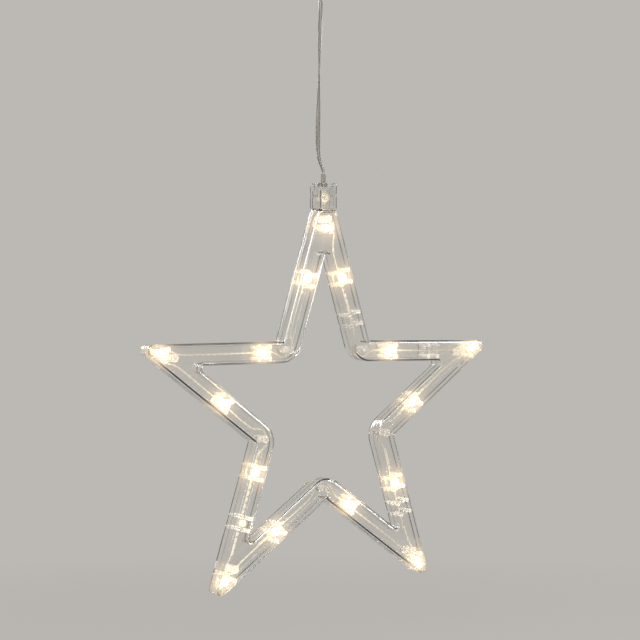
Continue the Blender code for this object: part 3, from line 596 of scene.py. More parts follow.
def pigmented(name, low, high, roughness, scale=400.0, clear=0.0, paintedGlow=0.0, paintedSpread=0.0, metallic=0.0):
    # coloured plastic or metal with a fine grain in its colour, gloss and surface, plus painted lamp light
    # as emission where paintedGlow is given
    look = pigmentLook
    made, tree, shader = nodeMaterial(name)
    shader.inputs["Transmission Weight"].default_value = clear
    shader.inputs["Metallic"].default_value = metallic
    grain = noise(tree, scale, look["detail"])
    link(tree, twoTone(tree, grain, low, high), shader.inputs["Base Color"])
    smoothest, roughest = (roughness * share for share in look["roughRange"])
    link(tree, mapped(tree, grain, smoothest, roughest), shader.inputs["Roughness"])
    bumped(tree, shader, noise(tree, scale * look["bumpScale"], look["bumpDetail"]), *look["bump"])
    if paintedGlow:
        paintedLampLight(tree, shader, paintedGlow, paintedSpread)
    return made


lampLook = {
    "clear": 0.3,
    "roughness": 0.15,
    "speck": (900.0, 2.0),
    "colours": ((1.0, 0.86, 0.6), (1.0, 0.93, 0.76)),
    "lights": ((1.0, 0.72, 0.36), (1.0, 0.84, 0.56)),
    "strengthRange": (0.9, 1.1),
}


def lampMaterial(name, strength):  # lit lamp, a little uneven in colour and strength
    look = lampLook
    made, tree, shader = nodeMaterial(name)
    shader.inputs["Transmission Weight"].default_value = look["clear"]
    shader.inputs["Roughness"].default_value = look["roughness"]
    speck = noise(tree, *look["speck"])
    link(tree, twoTone(tree, speck, *look["colours"]), shader.inputs["Base Color"])
    link(tree, twoTone(tree, speck, *look["lights"]), shader.inputs["Emission Color"])
    weakest, strongest = (strength * share for share in look["strengthRange"])
    link(tree, mapped(tree, speck, weakest, strongest), shader.inputs["Emission Strength"])
    return made


# the tube halves, fittings, posts, pegs, cap, inner knot, wires and holders carry painted lamp light as
# emission, so they read lit from inside the tube; only the two lamp finishes are real lamps
finishes = {
    "front": clearPlastic("clearTubeFront", (0.95, 0.945, 0.925), (0.02, 0.06)),
    "rear": clearPlastic("clearTubeRear", (0.945, 0.94, 0.92), (0.02, 0.07)),
    "fittings": clearPlastic("clearFittings", (0.97, 0.965, 0.95), (0.04, 0.10), paintedGlow=0.3, paintedSpread=0.7,
                             clear=0.9),
    "posts": clearPlastic("mouldedPosts", (0.97, 0.965, 0.95), (0.08, 0.16), paintedGlow=0.5, paintedSpread=3.0,
                          clear=0.6),
    "pegs": clearPlastic("mouldedPegs", (0.97, 0.965, 0.94), (0.06, 0.14), paintedGlow=0.25, paintedSpread=2.8,
                         clear=0.7),
    "cap": clearPlastic("clearCap", (0.98, 0.975, 0.965), (0.0, 0.02), paintedGlow=0.5),
    "sleeve": pigmented("paleSleeve", (0.58, 0.55, 0.48), (0.70, 0.67, 0.59), 0.4, clear=0.4),
    "leadSheath": clearPlastic("leadSheath", (0.80, 0.79, 0.76), (0.12, 0.25), paintedGlow=0.0),
    "conductor": pigmented("tinnedConductor", (0.36, 0.34, 0.31), (0.55, 0.52, 0.48), 0.35, scale=1500.0,
                           metallic=0.9),
    "knot": pigmented("knotSheath", (0.66, 0.63, 0.57), (0.8, 0.77, 0.7), 0.28, scale=600.0, clear=0.3),
    # knot inside the cap: paler cream than the upper knot, partly its own tone and partly painted light from
    # the top lamp, plus painted lamp light as emission
    "innerKnot": pigmented("innerKnotSheath", (0.84, 0.80, 0.70), (0.93, 0.89, 0.80), 0.28, scale=600.0,
                           clear=0.1, paintedGlow=2.5, paintedSpread=9.0),
    "wire": pigmented("lampWire", (0.80, 0.76, 0.68), (0.90, 0.87, 0.80), 0.25, scale=700.0, clear=0.3,
                      paintedGlow=2.0, paintedSpread=4.0),
    "holder": pigmented("lampHolder", (0.80, 0.78, 0.73), (0.88, 0.86, 0.82), 0.35, clear=0.4, paintedGlow=2.2,
                        paintedSpread=1.5),
    "lamp": lampMaterial("lampLit", 12.0),
    "lampDim": lampMaterial("lampDim", 1.1),
}
print("materials made")


# The two moulded halves of the tube, with their seats, posts and half necks.


def prism(name, outline, thickness, at, along, up):
    # flat outline (n, 2) as (depth, outward) carried through its thickness along the tube
    run, rise = np.array([along[0], 0.0, along[1]]), np.array([up[0], 0.0, up[1]])
    flat = outline[:, 0:1] * np.array([[0.0, 1.0, 0.0]]) + outline[:, 1:2] * rise[None, :]
    layers = [flat + run * (shift * thickness / 2) + inPlace(at[None, :], 0.0) for shift in (-1, 1)]
    return surface(name, np.stack(layers), capEnds=True)


def seatNotch(top):  # round notch for a holder as (depth, outward)
    turn, radius = np.linspace(0, math.pi, lampSpots["notchCount"]), lampSpots["notch"]
    return np.stack([np.maximum(np.sin(turn) * radius, top), np.cos(turn) * radius], axis=1)


def webOutline(out, side):  # thin rib from peg centre to peg centre
    gap = lampSpots["clearance"]
    flat = np.array([[gap, -out], [ribFloor, -out], [ribFloor, out], [gap, out]])
    return np.vstack([flat, seatNotch(gap)]) * [side, 1.0]


def ribOutline(halfLength, side):
    # rib from wall to wall, clear of the lip at its ends, its corners cut off at the wall's rounding
    s, cut = starShape, lampSpots["ribChamfer"]
    clearEnd = halfLength - lampSpots["lipClear"]
    lip = s["lipHeight"] + 2 * s["seam"]
    outer = np.array([
        [s["seam"], -clearEnd], [lip, -clearEnd], [lip, -halfLength], [ribFloor - cut, -halfLength],
        [ribFloor, cut - halfLength], [ribFloor, halfLength - cut], [ribFloor - cut, halfLength],
        [lip, halfLength], [lip, clearEnd], [s["seam"], clearEnd],
    ])
    return np.vstack([outer, seatNotch(s["seam"])]) * [side, 1.0]


def pegRadius(reach):  # share of half the room between the notch and the wall
    return (reach - lampSpots["notch"]) * lampSpots["pegShare"] / 2


def ribPlaces():
    # (place, run, half length, peg radius) of every rib; a peg radius of None marks a rib without pegs
    s, half = starShape, lampSpots["ribSpacing"] / 2
    lip = s["wall"] + lampSpots["clearance"]
    reach = s["halfWidth"] - lip
    radius = pegRadius(reach)
    ribs = []
    for kind, k, point, run in lamps:
        if kind == "top":
            ribs += [(point + run * shift, run, lampSpots["topRibHalf"], None) for shift in (-half, half)]
        elif kind == "tip":
            slim = pegRadius(armHalfWidth(k, lampSpots["tipOut"] - half, lip))
            inward = armHalfWidth(k, lampSpots["tipOut"] - half, lip + slim)
            outward = armHalfWidth(k, lampSpots["tipOut"] + half, s["wall"] / 2)
            ribs += [(point - run * half, run, inward, slim), (point + run * half, run, outward, None)]
        else:
            ribs += [(point + run * shift, run, reach - radius, radius) for shift in (-half, half)]
    for k, shares in enumerate(lampSpots["spareShares"]):
        for share in shares:
            point, run = corners[k] + barRun[k] * barLength[k] * share, barRun[k]
            ribs += [(point + run * shift, run, reach - radius, radius) for shift in (-half, half)]
    return ribs


def postPlaces():
    # plan points of the ten posts: midway across the tube at the bends, and just inside the tips' corners
    places = []
    for k in range(10):
        if k % 2:
            places.append(bendCentre(k) - outwardOf(k) * (starShape["halfWidth"] + starShape["bendRound"]))
        else:
            places.append(corners[k] + outwardOf(k) * lampSpots["topPostOut" if k == 0 else "postOut"])
    return places


def barrelAcross(name, place, near, far, rings):  # barrel at a plan point from one depth to another
    ends = [inPlace(place[None, :], depth)[0] for depth in (near, far)]
    return barrelMesh(name, *ends, rings)


def tapered(radius, taper):  # rings for a barrel from its radius and a taper in shares
    return [(radius * share, along) for share, along in taper]


def seatMeshes(side):  # ribs and pegs of the lamp seats in one half
    ribs, pegs = [], []
    for place, run, reach, radius in ribPlaces():
        up = np.array([-run[1], run[0]])
        outline = ribOutline(reach, side) if radius is None else webOutline(reach, side)
        ribs.append(prism("rib", outline, lampSpots["ribThickness"], place, run, up))
        if radius is not None:
            pegs += [barrelAcross("peg", place + up * across, side * starShape["seam"], side * ribFloor,
                                  tapered(radius, lampSpots["pegTaper"])) for across in (-reach, reach)]
    return ribs, pegs


neckShape = {
    "halfWidth": 0.0051,
    "halfDepth": 0.0054,
    "wall": 0.0012,
    "top": 0.0016,
    "corner": 0.0018,
    "innerCorner": 0.0008,
    "nub": 0.0018,
    "nubRise": 0.0009,
    "nubHeight": 0.0072,
    "nubFlat": 1 / 3,
    "nubSpan": (0.5, 1.5),
    "slot": 0.00095,
}
neckTop = starShape["neckCrown"]


def nubMesh(side, hand):
    # wedge on the neck's outer side: full rise at its foot, sloping back to the wall at its top
    n = neckShape
    root, tip = n["halfWidth"] - n["wall"] / 2, n["halfWidth"] + n["nubRise"]
    base = starShape["shoulderHeight"] + n["nubHeight"]
    level = base + n["nub"] * n["nubFlat"]
    plan = np.array([[root, base], [tip, base], [tip, level], [root, base + n["nub"]]]) * [hand, 1]
    layers = [inPlace(plan, side * n["nub"] * share) for share in n["nubSpan"]]
    return surface("nub", np.stack(layers), capEnds=True)


def halfBox(name, halfWidth, near, far, low, high, radius=0.0, squareSide=None):
    # box about the neck's middle plane between two depths and two heights
    lowCorner, highCorner = [-halfWidth, min(near, far), low], [halfWidth, max(near, far), high]
    return boxMesh(name, centre + lowCorner, centre + highCorner, radius, squareSide)


pinShape = {
    "taper": [(0.001, 0.0), (0.001, 0.9), (0.0007, 1.0)],
    "root": 0.3,
    "reach": 0.0028,
    "holeRadius": 0.0013,
    "holeDepth": 0.0031,
}


def shellPiece(name, side, tongue, slots):
    # one half: its section at every offset, with neck, seats and posts, less neck room, slot and holes
    s, n, p = starShape, neckShape, pinShape
    section = shellSection(tongue)
    rings = np.stack([starRing(offset) for offset in section[:, 0]])
    body = surface(name, inPlace(rings, side * section[:, 1][:, None]), closeRows=True)
    near, past = side * s["seam"], -side * overlap
    neck = [halfBox("neckBlock", n["halfWidth"], near, side * n["halfDepth"],
                    s["shoulderHeight"] - s["wall"] / 2, neckTop, n["corner"], near)]
    nubs = [nubMesh(side, hand) for hand in (-1, 1)]
    ribs, pegs = seatMeshes(side)
    postRings = tapered(lampSpots["postRadius"], lampSpots["postTaper"])
    posts = [barrelAcross("post", place, near, side * ribFloor, postRings) for place in postPlaces()]
    pins = []
    removed = [
        halfBox("neckRoom", n["halfWidth"] - n["wall"], past, side * (n["halfDepth"] - n["wall"]),
                s["shoulderHeight"] - s["wall"] - overlap, neckTop - n["top"], n["innerCorner"], past),
        halfBox("leadSlot", n["slot"], past, side * n["slot"], neckTop - n["top"] - overlap,
                neckTop + overlap),
    ]
    if tongue:
        root = side * (s["seam"] + (ribFloor - s["seam"]) * p["root"])
        pins = [barrelAcross("pin", place, root, -side * p["reach"], p["taper"]) for place in postPlaces()]
    else:
        bore = [(p["holeRadius"], 0.0), (p["holeRadius"], 1.0)]
        holes = [barrelAcross("pinHole", place, past, side * p["holeDepth"], bore) for place in postPlaces()]
        removed.append(joinedMesh(name + "Holes", holes))
    steps = [(joinedMesh(name + "Neck", neck), "UNION"), (joinedMesh(name + "Nubs", nubs), "UNION")]
    for kind, meshes, last in (("Ribs", ribs, 2), ("Posts", posts, 3), ("Pegs", pegs, 4), ("Pins", pins, 3)):
        if meshes:
            steps.append((joinedMesh(name + kind, meshes, slots[:last]), "UNION"))
    steps += [(cutter, "DIFFERENCE") for cutter in removed]
    mesh = combined(name, body, steps, slots)
    node, slot = ("front_shell", "clear_front") if side < 0 else ("rear_shell", "clear_rear")
    return addPiece(name, mesh, "star", slots, [node], creases["shell"])


insideFinishes = [finishes["fittings"], finishes["posts"], finishes["pegs"]]
frontTube = shellPiece("frontTube", -1, False, [finishes["front"]] + insideFinishes)
rearTube = shellPiece("rearTube", 1, True, [finishes["rear"]] + insideFinishes)
print("tube halves made:", len(frontTube.data.polygons), len(rearTube.data.polygons), "faces")


# Cap, sleeve, lead, knots and loop.


capShape = {
    "halfWidth": 0.0066,
    "halfDepth": 0.0069,
    "base": 0.1265,
    "height": 0.0156,
    "top": 0.0024,
    "wall": 0.0012,
    "round": 0.0025,
    "edge": 0.0008,
    "edgeCount": 6,
    "window": 0.003,
    "windowHeight": 0.0024,
    "hole": 0.002,
}
capTop = capShape["base"] + capShape["height"]


def capMesh():
    # box with rounded upright and top edges, less its room, the sleeve's hole and two windows
    c = capShape

    def wall(inset, height):  # plan of the cap drawn in by inset, at a height
        half = np.array([c["halfWidth"], c["halfDepth"]]) - inset
        plan = boxPlan(-half, half, c["round"] - inset)
        return np.column_stack([plan, np.full(len(plan), height)]) + centre

    turn = np.linspace(0, math.tau / 4, c["edgeCount"])
    edge = zip(c["edge"] * (1 - np.cos(turn)), capTop - c["edge"] + c["edge"] * np.sin(turn))
    outer = [wall(0.0, c["base"])] + [wall(inset, height) for inset, height in edge]
    room = [wall(c["wall"], c["base"] - overlap), wall(c["wall"], capTop - c["top"])]
    holeFoot, holeTop = centre + [0, 0, capTop - c["top"] - overlap], centre + [0, 0, capTop + overlap]
    hole = barrelMesh("capHole", holeFoot, holeTop, [(c["hole"], 0.0), (c["hole"], 1.0)])
    reach, low = c["halfWidth"] + overlap, starShape["shoulderHeight"] + neckShape["nubHeight"] - touch
    windows = boxMesh("capWindows", centre + [-reach, -c["window"], low],
                      centre + [reach, c["window"], low + c["windowHeight"]])
    cutters = (surface("capRoom", np.stack(room), capEnds=True), hole, windows)
    body = surface("capBody", np.stack(outer), capEnds=True)
    return combined("clearCap", body, [(cutter, "DIFFERENCE") for cutter in cutters])


addPiece("clearCap", capMesh(), "star", finishes["cap"], ["neck_cap"], creases["shell"])

sleeveShape = {
    "rise": 0.006,
    "radius": 0.0017,
    "taper": 0.0001,
    "ribs": 4.5,
    "ribDepth": 0.00007,
    "lip": 0.0002,
    "lipRadius": 0.00158,
    "mouthRadius": 0.00145,
    "rows": 14,
    "count": 24,
}
sleeveTop = capTop + sleeveShape["rise"]


def sleeveMesh():
    # radius against height, turned about the lead: plain inside the cap, finely ribbed above it
    s = sleeveShape
    share = np.linspace(0, 1, s["rows"])[1:-1]
    ribbed = s["radius"] - s["taper"] * share + s["ribDepth"] * np.sin(share * math.tau * s["ribs"])
    radii = np.concatenate([[s["radius"], s["radius"]], ribbed, [s["lipRadius"], s["mouthRadius"]]])
    heights = np.concatenate([[neckTop + touch, capTop], capTop + (sleeveTop - capTop) * share,
                              [sleeveTop - s["lip"], sleeveTop]])
    ring = np.column_stack([circle(1.0, s["count"]), np.zeros(s["count"])])
    points = ring * radii[:, None, None] + heights[:, None, None] * np.array([0.0, 0.0, 1.0]) + centre
    return surface("paleSleeve", points, capEnds=True)


addPiece("paleSleeve", sleeveMesh(), "star", finishes["sleeve"], ["lead_sleeve"], creases["small"])

leadShape = {
    "halfWidth": 0.0014,
    "halfThickness": 0.0007,
    "valley": 0.28,
    "valleyWidth": 0.00035,
    "conductor": 0.00034,
    "conductorOut": 0.00068,
    "conductorSides": 10,
    "startTurn": 216,
    "quarterTurnUp": 0.0356,
    "samples": 24,
    "step": 0.0012,
    "lift": 0.0001,
    "route": [
        (0.0, 0.0), (-0.0002, 0.0018), (-0.0014, 0.0048), (-0.0031, 0.0088), (-0.0040, 0.0150),
        (-0.0042, 0.0300), (-0.0036, 0.0580), (-0.0029, 0.0900), (-0.0025, 0.1080), (-0.0025, 0.1134),
    ],
    "loopSamples": 20,
    "loopStep": 0.001,
    "loopRoute": [
        (0.00095, 0.0046), (0.0012, 0.0078), (0.0040, 0.0140), (0.0065, 0.0205),
        (0.0056, 0.0262), (0.0028, 0.0297), (0.0, 0.0307),
    ],
}


def leadSection(count=28):
    # flat oval whose middle dips on both faces
    turn = np.linspace(0, math.tau, count, endpoint=False)
    across = np.cos(turn) * leadShape["halfWidth"]
    dip = 1 - leadShape["valley"] * np.exp(-((across / leadShape["valleyWidth"]) ** 2))
    return np.stack([across, np.sin(turn) * leadShape["halfThickness"] * dip], axis=1)


def coreMesh(name, path, angle, towards):  # the lead's two wire cores, side by side along a path
    out, profile = leadShape["conductorOut"], circle(leadShape["conductor"], leadShape["conductorSides"])
    cores = [sweptTube("core", path, profile, angle, towards, (way * out, 0.0)) for way in (-1, 1)]
    return joinedMesh(name, cores)


leadStart = centre + np.array([0.0, 0.0, sleeveTop])
leadRoute = [leadStart + [right, 0.0, up] for right, up in leadShape["route"]]
leadPath = evenPath(smoothPath(leadRoute, leadShape["samples"]), leadShape["step"])
leadPath[0][2] += leadShape["lift"]
rise = leadPath[:, 2] - leadStart[2]
leadTurn = math.radians(leadShape["startTurn"]) - (math.pi / 2) * rise / leadShape["quarterTurnUp"]
acrossFront, acrossDepth = (1.0, 0.0, 0.0), (0.0, 1.0, 0.0)
sheath = sweptTube("leadSheath", leadPath, leadSection(), leadTurn, acrossFront)
leadSheath = addPiece("leadSheath", sheath, "lead", finishes["leadSheath"], ["suspension_lead"])
cores = coreMesh("leadCores", leadPath[1:-1], leadTurn[1:-1], acrossFront)
leadCores = addPiece("leadCores", cores, "lead", finishes["conductor"], [])

knotShape = {
    "strand": 0.0006,
    "width": 0.0071,
    "height": 0.0058,
    "depth": 0.0036,
    "ball": 0.0042,
    "open": 2.6,
    "turned": 30,
    "start": 0.24,
    "points": 120,
    "entry": [(1.3, 1 / 9, 3.852), (3.24, 1.0, 1.3)],
    "samples": 8,
    "step": 0.0004,
    "sides": 14,
}


def knotPath():
    # trefoil strand: radius open + cos 3t at angle 2t, depth sin 3t, with straight ends a stub above and
    # below, the whole knot turned about its upright axis
    k = knotShape
    strand, stub, widest = k["strand"], k["ball"], k["open"] + 1
    across, high = (k["width"] / 2 - strand) / widest, (k["height"] / 2 - strand) / widest
    deep = k["depth"] / 2 - strand
    turn = np.linspace(k["start"], math.tau - k["start"], k["points"])
    reach = k["open"] + np.cos(3 * turn)
    middle = np.stack([across * reach * np.cos(2 * turn), deep * np.sin(3 * turn),
                       high * reach * np.sin(2 * turn)], axis=1)
    entry = np.array(k["entry"]) * [across, deep, -high]
    lower = np.vstack([[0, 0, -stub], [0, 0, strand - stub], entry])
    upper = (lower * [1, -1, -1])[::-1]
    path = np.vstack([lower, middle[::6], middle[-1:], upper])
    right, back = rotated(path[:, :2].T, -math.radians(k["turned"]))
    return evenPath(smoothPath(np.stack([right, back, path[:, 2]], axis=1), k["samples"]), k["step"])


def knotTube(name, points):
    return sweptTube(name, points, circle(knotShape["strand"], knotShape["sides"]))


knotPoints = knotPath()
innerCentre = centre + [0, 0, neckTop - neckShape["top"] - touch - knotShape["ball"]]
innerPoints = evenPath(np.vstack([knotPoints + innerCentre, centre + [0, 0, neckTop]]), knotShape["step"])
innerKnot = knotTube("strainKnot", innerPoints)
addPiece("strainKnot", innerKnot, "star", finishes["innerKnot"], ["strain_knot"])
upperCentre = leadPath[-1] + [0, 0, knotShape["ball"] + touch]
outerKnot = knotTube("upperKnot", knotPoints + upperCentre)
upperKnot = addPiece("upperKnot", outerKnot, "knot", finishes["knot"], ["loop_knot"])

rightSide = [upperCentre + [right, 0.0, up] for right, up in leadShape["loopRoute"]]
leftSide = [upperCentre + [-right, 0.0, up] for right, up in leadShape["loopRoute"][:-1]]
loopPath = evenPath(smoothPath(leftSide + rightSide[::-1], leadShape["loopSamples"]), leadShape["loopStep"])
loopSheath = sweptTube("hangingLoop", loopPath, leadSection(), math.pi / 2, acrossDepth)
hangingLoop = addPiece("hangingLoop", loopSheath, "loop", finishes["leadSheath"], ["hanging_loop"])
loopStrands = coreMesh("loopCores", loopPath[1:-1], math.pi / 2, acrossDepth)
loopCores = addPiece("loopCores", loopStrands, "loop", finishes["conductor"], [])

print("cap and lead made")


# Lamps, their holders and the thin wires.


pole = 0.00001  # radius that closes a turned profile at its axis

lampShape = {
    "radius": 0.0015,
    "base": 0.001,
    "flangeRadius": 0.0019,
    "flangeBase": 0.0029,
    "flangeTop": 0.0033,
    "height": 0.0049,
    "domeCount": 7,
    "sides": 20,
}
holderShape = {
    "length": 0.0096,
    "barrel": 0.0017,
    "end": 0.0012,
    "chamfer": 0.05,
    "groove": 0.00155,
    "grooves": (0.30, 0.62),
    "grooveSteps": (0.02, 0.06, 0.08),
    "cup": 0.0024,
    "cupStep": 0.0022,
    "cupRim": 0.0022,
    "cupHeight": 0.0026,
    "cupFloor": 0.0007,
    "bore": 0.0018,
    "cupSides": 24,
}


def lampAxes(point, run):  # direction along the wire, direction outward, and the place
    along, out = np.array([run[0], 0.0, run[1]]), np.array([-run[1], 0.0, run[0]])
    return along, out, inPlace(point[None, :], 0.0)[0]


def turnedFront(profile, point, run, count):
    # profile of (radius, height towards the front) turned about the lamp's axis
    along, out, place = lampAxes(point, run)
    turn = np.linspace(0, math.tau, count, endpoint=False)
    ring = np.cos(turn)[:, None] * along + np.sin(turn)[:, None] * out
    return np.stack([place - [0.0, height, 0.0] + ring * radius for radius, height in profile])


def lampMesh(point, run):  # body, flange and dome
    s = lampShape
    dome = np.linspace(0, math.tau / 4, s["domeCount"])
    radius, flange, low, high = s["radius"], s["flangeRadius"], s["flangeBase"], s["flangeTop"]
    foot = s["height"] - radius
    profile = [(pole, s["base"]), (radius, s["base"]), (radius, low), (flange, low), (flange, high),
               (radius, high)]
    profile += [(max(radius * math.cos(t), pole), foot + radius * math.sin(t)) for t in dome]
    return surface("lamp", turnedFront(profile, point, run, s["sides"]), capEnds=True)


def holderMesh(point, run):  # grooved barrel along the wire and a cup that the lamp stands in
    s = holderShape
    along, out, place = lampAxes(point, run)
    half = s["length"] / 2
    wide, slim, (slope, back, end) = s["barrel"], s["groove"], s["grooveSteps"]
    rings = [(s["end"], 0.0), (wide, s["chamfer"])]
    for at in s["grooves"]:
        rings += [(wide, at), (slim, at + slope), (slim, at + back), (wide, at + end)]
    rings += [(wide, 1 - s["chamfer"]), (s["end"], 1.0)]
    barrel = barrelMesh("barrel", place - along * half, place + along * half, rings)
    profile = [(pole, 0.0), (s["cup"], 0.0), (s["cup"], s["cupStep"]), (s["cupRim"], s["cupHeight"]),
               (s["bore"], s["cupHeight"]), (s["bore"], s["cupFloor"]), (pole, s["cupFloor"])]
    cup = surface("cup", turnedFront(profile, point, run, s["cupSides"]), capEnds=True)
    return joinedMesh("holder", [barrel, cup])


for number, (kind, corner, point, run) in enumerate(lamps, start=1):
    finish = finishes["lampDim" if number - 1 == paintedGlowLook["dimLamp"] else "lamp"]
    addPiece(f"lamp{number:02d}", lampMesh(point, run), "star", finish, [f"led_{number:02d}"],
             creases["small"])
    addPiece(f"holder{number:02d}", holderMesh(point, run), "star", finishes["holder"],
             [f"lamp_holder_{number:02d}"], creases["small"])

wireShape = {
    "strand": 0.00027,
    "sides": 8,
    "apart": 0.0003,
    "pitch": 0.008,
    "samples": 16,
    "step": 0.0007,
    "leave": 0.0012,
    "join": 0.012,
    "bendShare": 0.12,
    "bendTurn": 24,
    "pairOffset": 0.0009,
    "pairHalf": 0.0006,
    "gap": 0.0003,
    "topFall": 2.4,
    "postPath": [(0.62, 0.8), (0.0, 1.0), (-1.0, 0.97)],
    "feedShares": [(-0.18, 0.15), (-0.545, -0.333), (-0.795, -0.667), (-0.98, -1.1), (-1.06, -1.455)],
}


def onArm(k, along, across):  # plan point by its place along and across a tip's axis
    axis = outwardOf(k)
    return corners[k] + axis * along - np.array([-axis[1], axis[0]]) * across


def aroundBend(k):  # outside the bend's post, midway between it and the wall
    w, s = wireShape, starShape
    reach = s["halfWidth"] + s["bendRound"] + (lampSpots["postRadius"] + s["halfWidth"] - s["wall"]) / 2
    swing = math.radians(w["bendTurn"])
    around = [bendCentre(k) + rotated(-outwardOf(k), turn) * reach for turn in (-swing, 0.0, swing)]
    start = corners[k - 1] + barRun[k - 1] * barLength[k - 1] * (1 - w["bendShare"])
    return [start] + around + [corners[k] + barRun[k] * barLength[k] * w["bendShare"]]


def aroundTipPost(k, hand):  # from a tip's holder past its post and out into the bar on one hand
    w = wireShape
    back = lampSpots["tipOut"] - holderShape["length"] / 2 - 2 * w["gap"]
    post = lampSpots["postOut"]
    beside = lampSpots["postRadius"] + w["pairHalf"] + 2 * w["gap"]
    path = [(back, w["pairOffset"]), (back - w["pairHalf"], w["pairOffset"])]
    path += [(post + beside * along, beside * across) for along, across in w["postPath"]]
    bar = k if hand > 0 else k - 1
    share = w["join"] if hand > 0 else barLength[bar] - w["join"]
    return [onArm(k, along, hand * across) for along, across in path] + [corners[bar] + barRun[bar] * share]


def wireStart(kind, k, point, run):  # plan points where a wire leaves a lamp's holder
    if kind == "tip":
        return aroundTipPost(k, 1)
    w = wireShape
    end = holderShape["length"] / 2 + w["gap"]
    places = [point + run * end, point + run * (end + w["leave"])]
    if kind == "top":
        places.append(point + run * (end + 2 * w["leave"]) - np.array([0.0, w["topFall"] * w["leave"]]))
        places.append(corners[0] + barRun[0] * (lampSpots["topDrop"] + w["join"] + w["leave"]))
    return places


def wireEnd(kind, k, point, run):  # plan points where it reaches the next lamp's holder
    if kind == "tip":
        return aroundTipPost(k, -1)[::-1]
    end = holderShape["length"] / 2 + wireShape["gap"]
    return [point - run * (end + wireShape["leave"]), point - run * end]


def wireRoutes():
    # plan points of each wire: from the knot to the first lamp, and on from lamp to lamp
    foot = neckTop - neckShape["top"] - touch - 2 * knotShape["ball"] - touch
    feed = [(0.0, foot), (0.0, foot - wireShape["leave"])]
    feed += [corners[0] + np.array(p) * starShape["halfWidth"] for p in wireShape["feedShares"]]
    routes = [feed + wireEnd(*lamps[0])]
    for lamp, following in zip(lamps, lamps[1:]):
        route = wireStart(*lamp)
        if lamp[0] != "tip" and following[0] != "tip" and lamp[1] != following[1]:
            route += aroundBend(following[1])
        routes.append(route + wireEnd(*following))
    return routes


def wireMesh(route):
    # two strands wound round the route as a slow helix: angle is a whole turn for every pitch gone
    w = wireShape
    path = evenPath(smoothPath(inPlace(np.array(route), 0.0), w["samples"]), w["step"])
    angle = math.tau * np.linspace(0, pathLength(path), len(path)) / w["pitch"]
    profile = circle(w["strand"], w["sides"])
    strands = [sweptTube("strand", path, profile, angle, shift=(way * w["apart"], 0.0)) for way in (-1, 1)]
    return joinedMesh("wire", strands)


for number, route in enumerate(wireRoutes(), start=1):
    addPiece(f"twinWire{number:02d}", wireMesh(route), "star", finishes["wire"], [f"wire_{number:02d}"])
print("lamps and wires made")


# Room, lights and camera.


studio = {
    "floorHeight": -0.62,
    "floorReach": 40.0,
    "floorTones": ((0.56, 0.545, 0.52), (0.58, 0.565, 0.54)),
    "floorFade": (0.7, 1.6),
    "floorRoughness": 0.9,
    "floorGrain": (3.0, 3.0),
    "background": (0.50, 0.485, 0.46),
    "worldColour": (1.0, 0.99, 0.97),
    "worldLight": 0.35,
    "lights": [
        ("keyLight", (-1.40, -0.42, 0.62), (0.32, 1.1), 5.5),
        ("fillLight", (1.30, -0.62, 0.62), (0.32, 1.1), 5.0),
        ("topLight", (-0.1, -0.4, 1.25), (1.0, 0.4), 4.0),
        ("rimLight", (1.43, 0.25, 0.62), (0.32, 1.1), 5.0),
        ("backLight", (-0.30, 1.42, 0.62), (0.32, 1.1), 5.0),
    ],
}


def mixed(tree, share, first, second, target):  # two shaders mixed by a share and sent to an output
    mix = addNode(tree, "ShaderNodeMixShader")
    for number, source in enumerate((share, first, second)):
        link(tree, source, mix.inputs[number])
    link(tree, mix.outputs["Shader"], target)


def studioFloor():  # pale floor that fades into the plain background
    reach, height = studio["floorReach"], studio["floorHeight"]
    edge = [(right * reach, back * reach, height) for right, back in ((-1, -1), (1, -1), (1, 1), (-1, 1))]
    mesh = newMesh("floor", edge, [(0, 1, 2, 3)])
    made, tree, shader = nodeMaterial("paleFloor")
    shader.inputs["Roughness"].default_value = studio["floorRoughness"]
    grain = noise(tree, *studio["floorGrain"])
    link(tree, twoTone(tree, grain, *studio["floorTones"]), shader.inputs["Base Color"])
    far = addNode(tree, "ShaderNodeVectorMath", operation="LENGTH")
    link(tree, addNode(tree, "ShaderNodeTexCoord").outputs["Object"], far.inputs[0])
    fade = mapped(tree, far.outputs["Value"], 0.0, 1.0, *studio["floorFade"])
    plain = addNode(tree, "ShaderNodeEmission")
    plain.inputs["Color"].default_value = (*studio["background"], 1.0)
    mixed(tree, fade, shader.outputs["BSDF"], plain.outputs["Emission"],
          tree.nodes["Material Output"].inputs["Surface"])
    floor = bpy.data.objects.new("floor", mesh)
    mesh.materials.append(made)
    bpy.context.scene.collection.objects.link(floor)


def softBox(name, place, size, radiance):  # light panel turned towards the star
    lamp = bpy.data.lights.new(name, "AREA")
    lamp.shape = "RECTANGLE"
    lamp.size, lamp.size_y = size
    lamp.energy = radiance * math.pi * size[0] * size[1]
    made = bpy.data.objects.new(name, lamp)
    made.location = place
    made.rotation_mode = "QUATERNION"
    made.rotation_quaternion = (Vector(centre) - Vector(place)).to_track_quat("-Z", "Y")
    made.visible_camera = False
    bpy.context.scene.collection.objects.link(made)


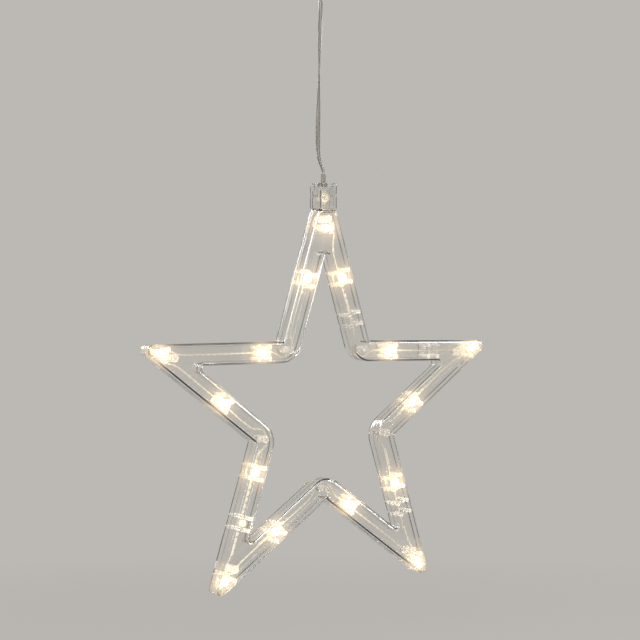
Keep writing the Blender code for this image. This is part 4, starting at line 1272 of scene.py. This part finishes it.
def paleWorld():
    # soft light on the object, with the plain background for camera, gloss and clear plastic
    world = bpy.data.worlds.new("paleRoom")
    bpy.context.scene.world = world
    world.use_nodes = True
    tree = world.node_tree
    light = tree.nodes["Background"]
    light.inputs["Color"].default_value = (*studio["worldColour"], 1.0)
    light.inputs["Strength"].default_value = studio["worldLight"]
    shown = addNode(tree, "ShaderNodeBackground")
    shown.inputs["Color"].default_value = (*studio["background"], 1.0)
    rays = addNode(tree, "ShaderNodeLightPath")
    either = mathNode(tree, "ADD", rays.outputs["Is Camera Ray"], rays.outputs["Is Glossy Ray"])
    seen = mathNode(tree, "ADD", either, rays.outputs["Is Transmission Ray"], clamp=True)
    mixed(tree, seen, light.outputs["Background"], shown.outputs["Background"],
          tree.nodes["World Output"].inputs["Surface"])


cameraFit = {
    "azimuth": -34.14,
    "elevation": 0.66,
    "roll": 0.17,
    "right": 0.0143,
    "up": -0.4791,
    "distance": 8.3927,
    "unit": 0.1191,
    "lens": 90.0,
    "sensor": 36.0,
}


def cameraFromFit():
    # camera at a distance from the star's centre along its angles, then moved sideways, all in units
    c = cameraFit
    a, e, r = (math.radians(c[key]) for key in ("azimuth", "elevation", "roll"))
    back = Vector((math.sin(a) * math.cos(e), -math.cos(a) * math.cos(e), math.sin(e)))
    right = Vector((math.cos(a), math.sin(a), 0.0))
    up = back.cross(right)
    turnedRight = right * math.cos(r) + up * math.sin(r)
    turnedUp = up * math.cos(r) - right * math.sin(r)
    shift = back * c["distance"] - turnedRight * c["right"] - turnedUp * c["up"]
    place = Vector(centre) + shift * c["unit"]
    data = bpy.data.cameras.new("photoCamera")
    data.lens = c["lens"]
    data.sensor_width = c["sensor"]
    camera = bpy.data.objects.new("photoCamera", data)
    turned = Matrix((turnedRight, turnedUp, back)).transposed().to_4x4()
    camera.matrix_world = Matrix.Translation(place) @ turned
    bpy.context.scene.collection.objects.link(camera)
    bpy.context.scene.camera = camera


studioFloor()
for softLight in studio["lights"]:
    softBox(*softLight)
paleWorld()
cameraFromFit()
bpy.context.scene.view_settings.view_transform = "Standard"
print("studio made")
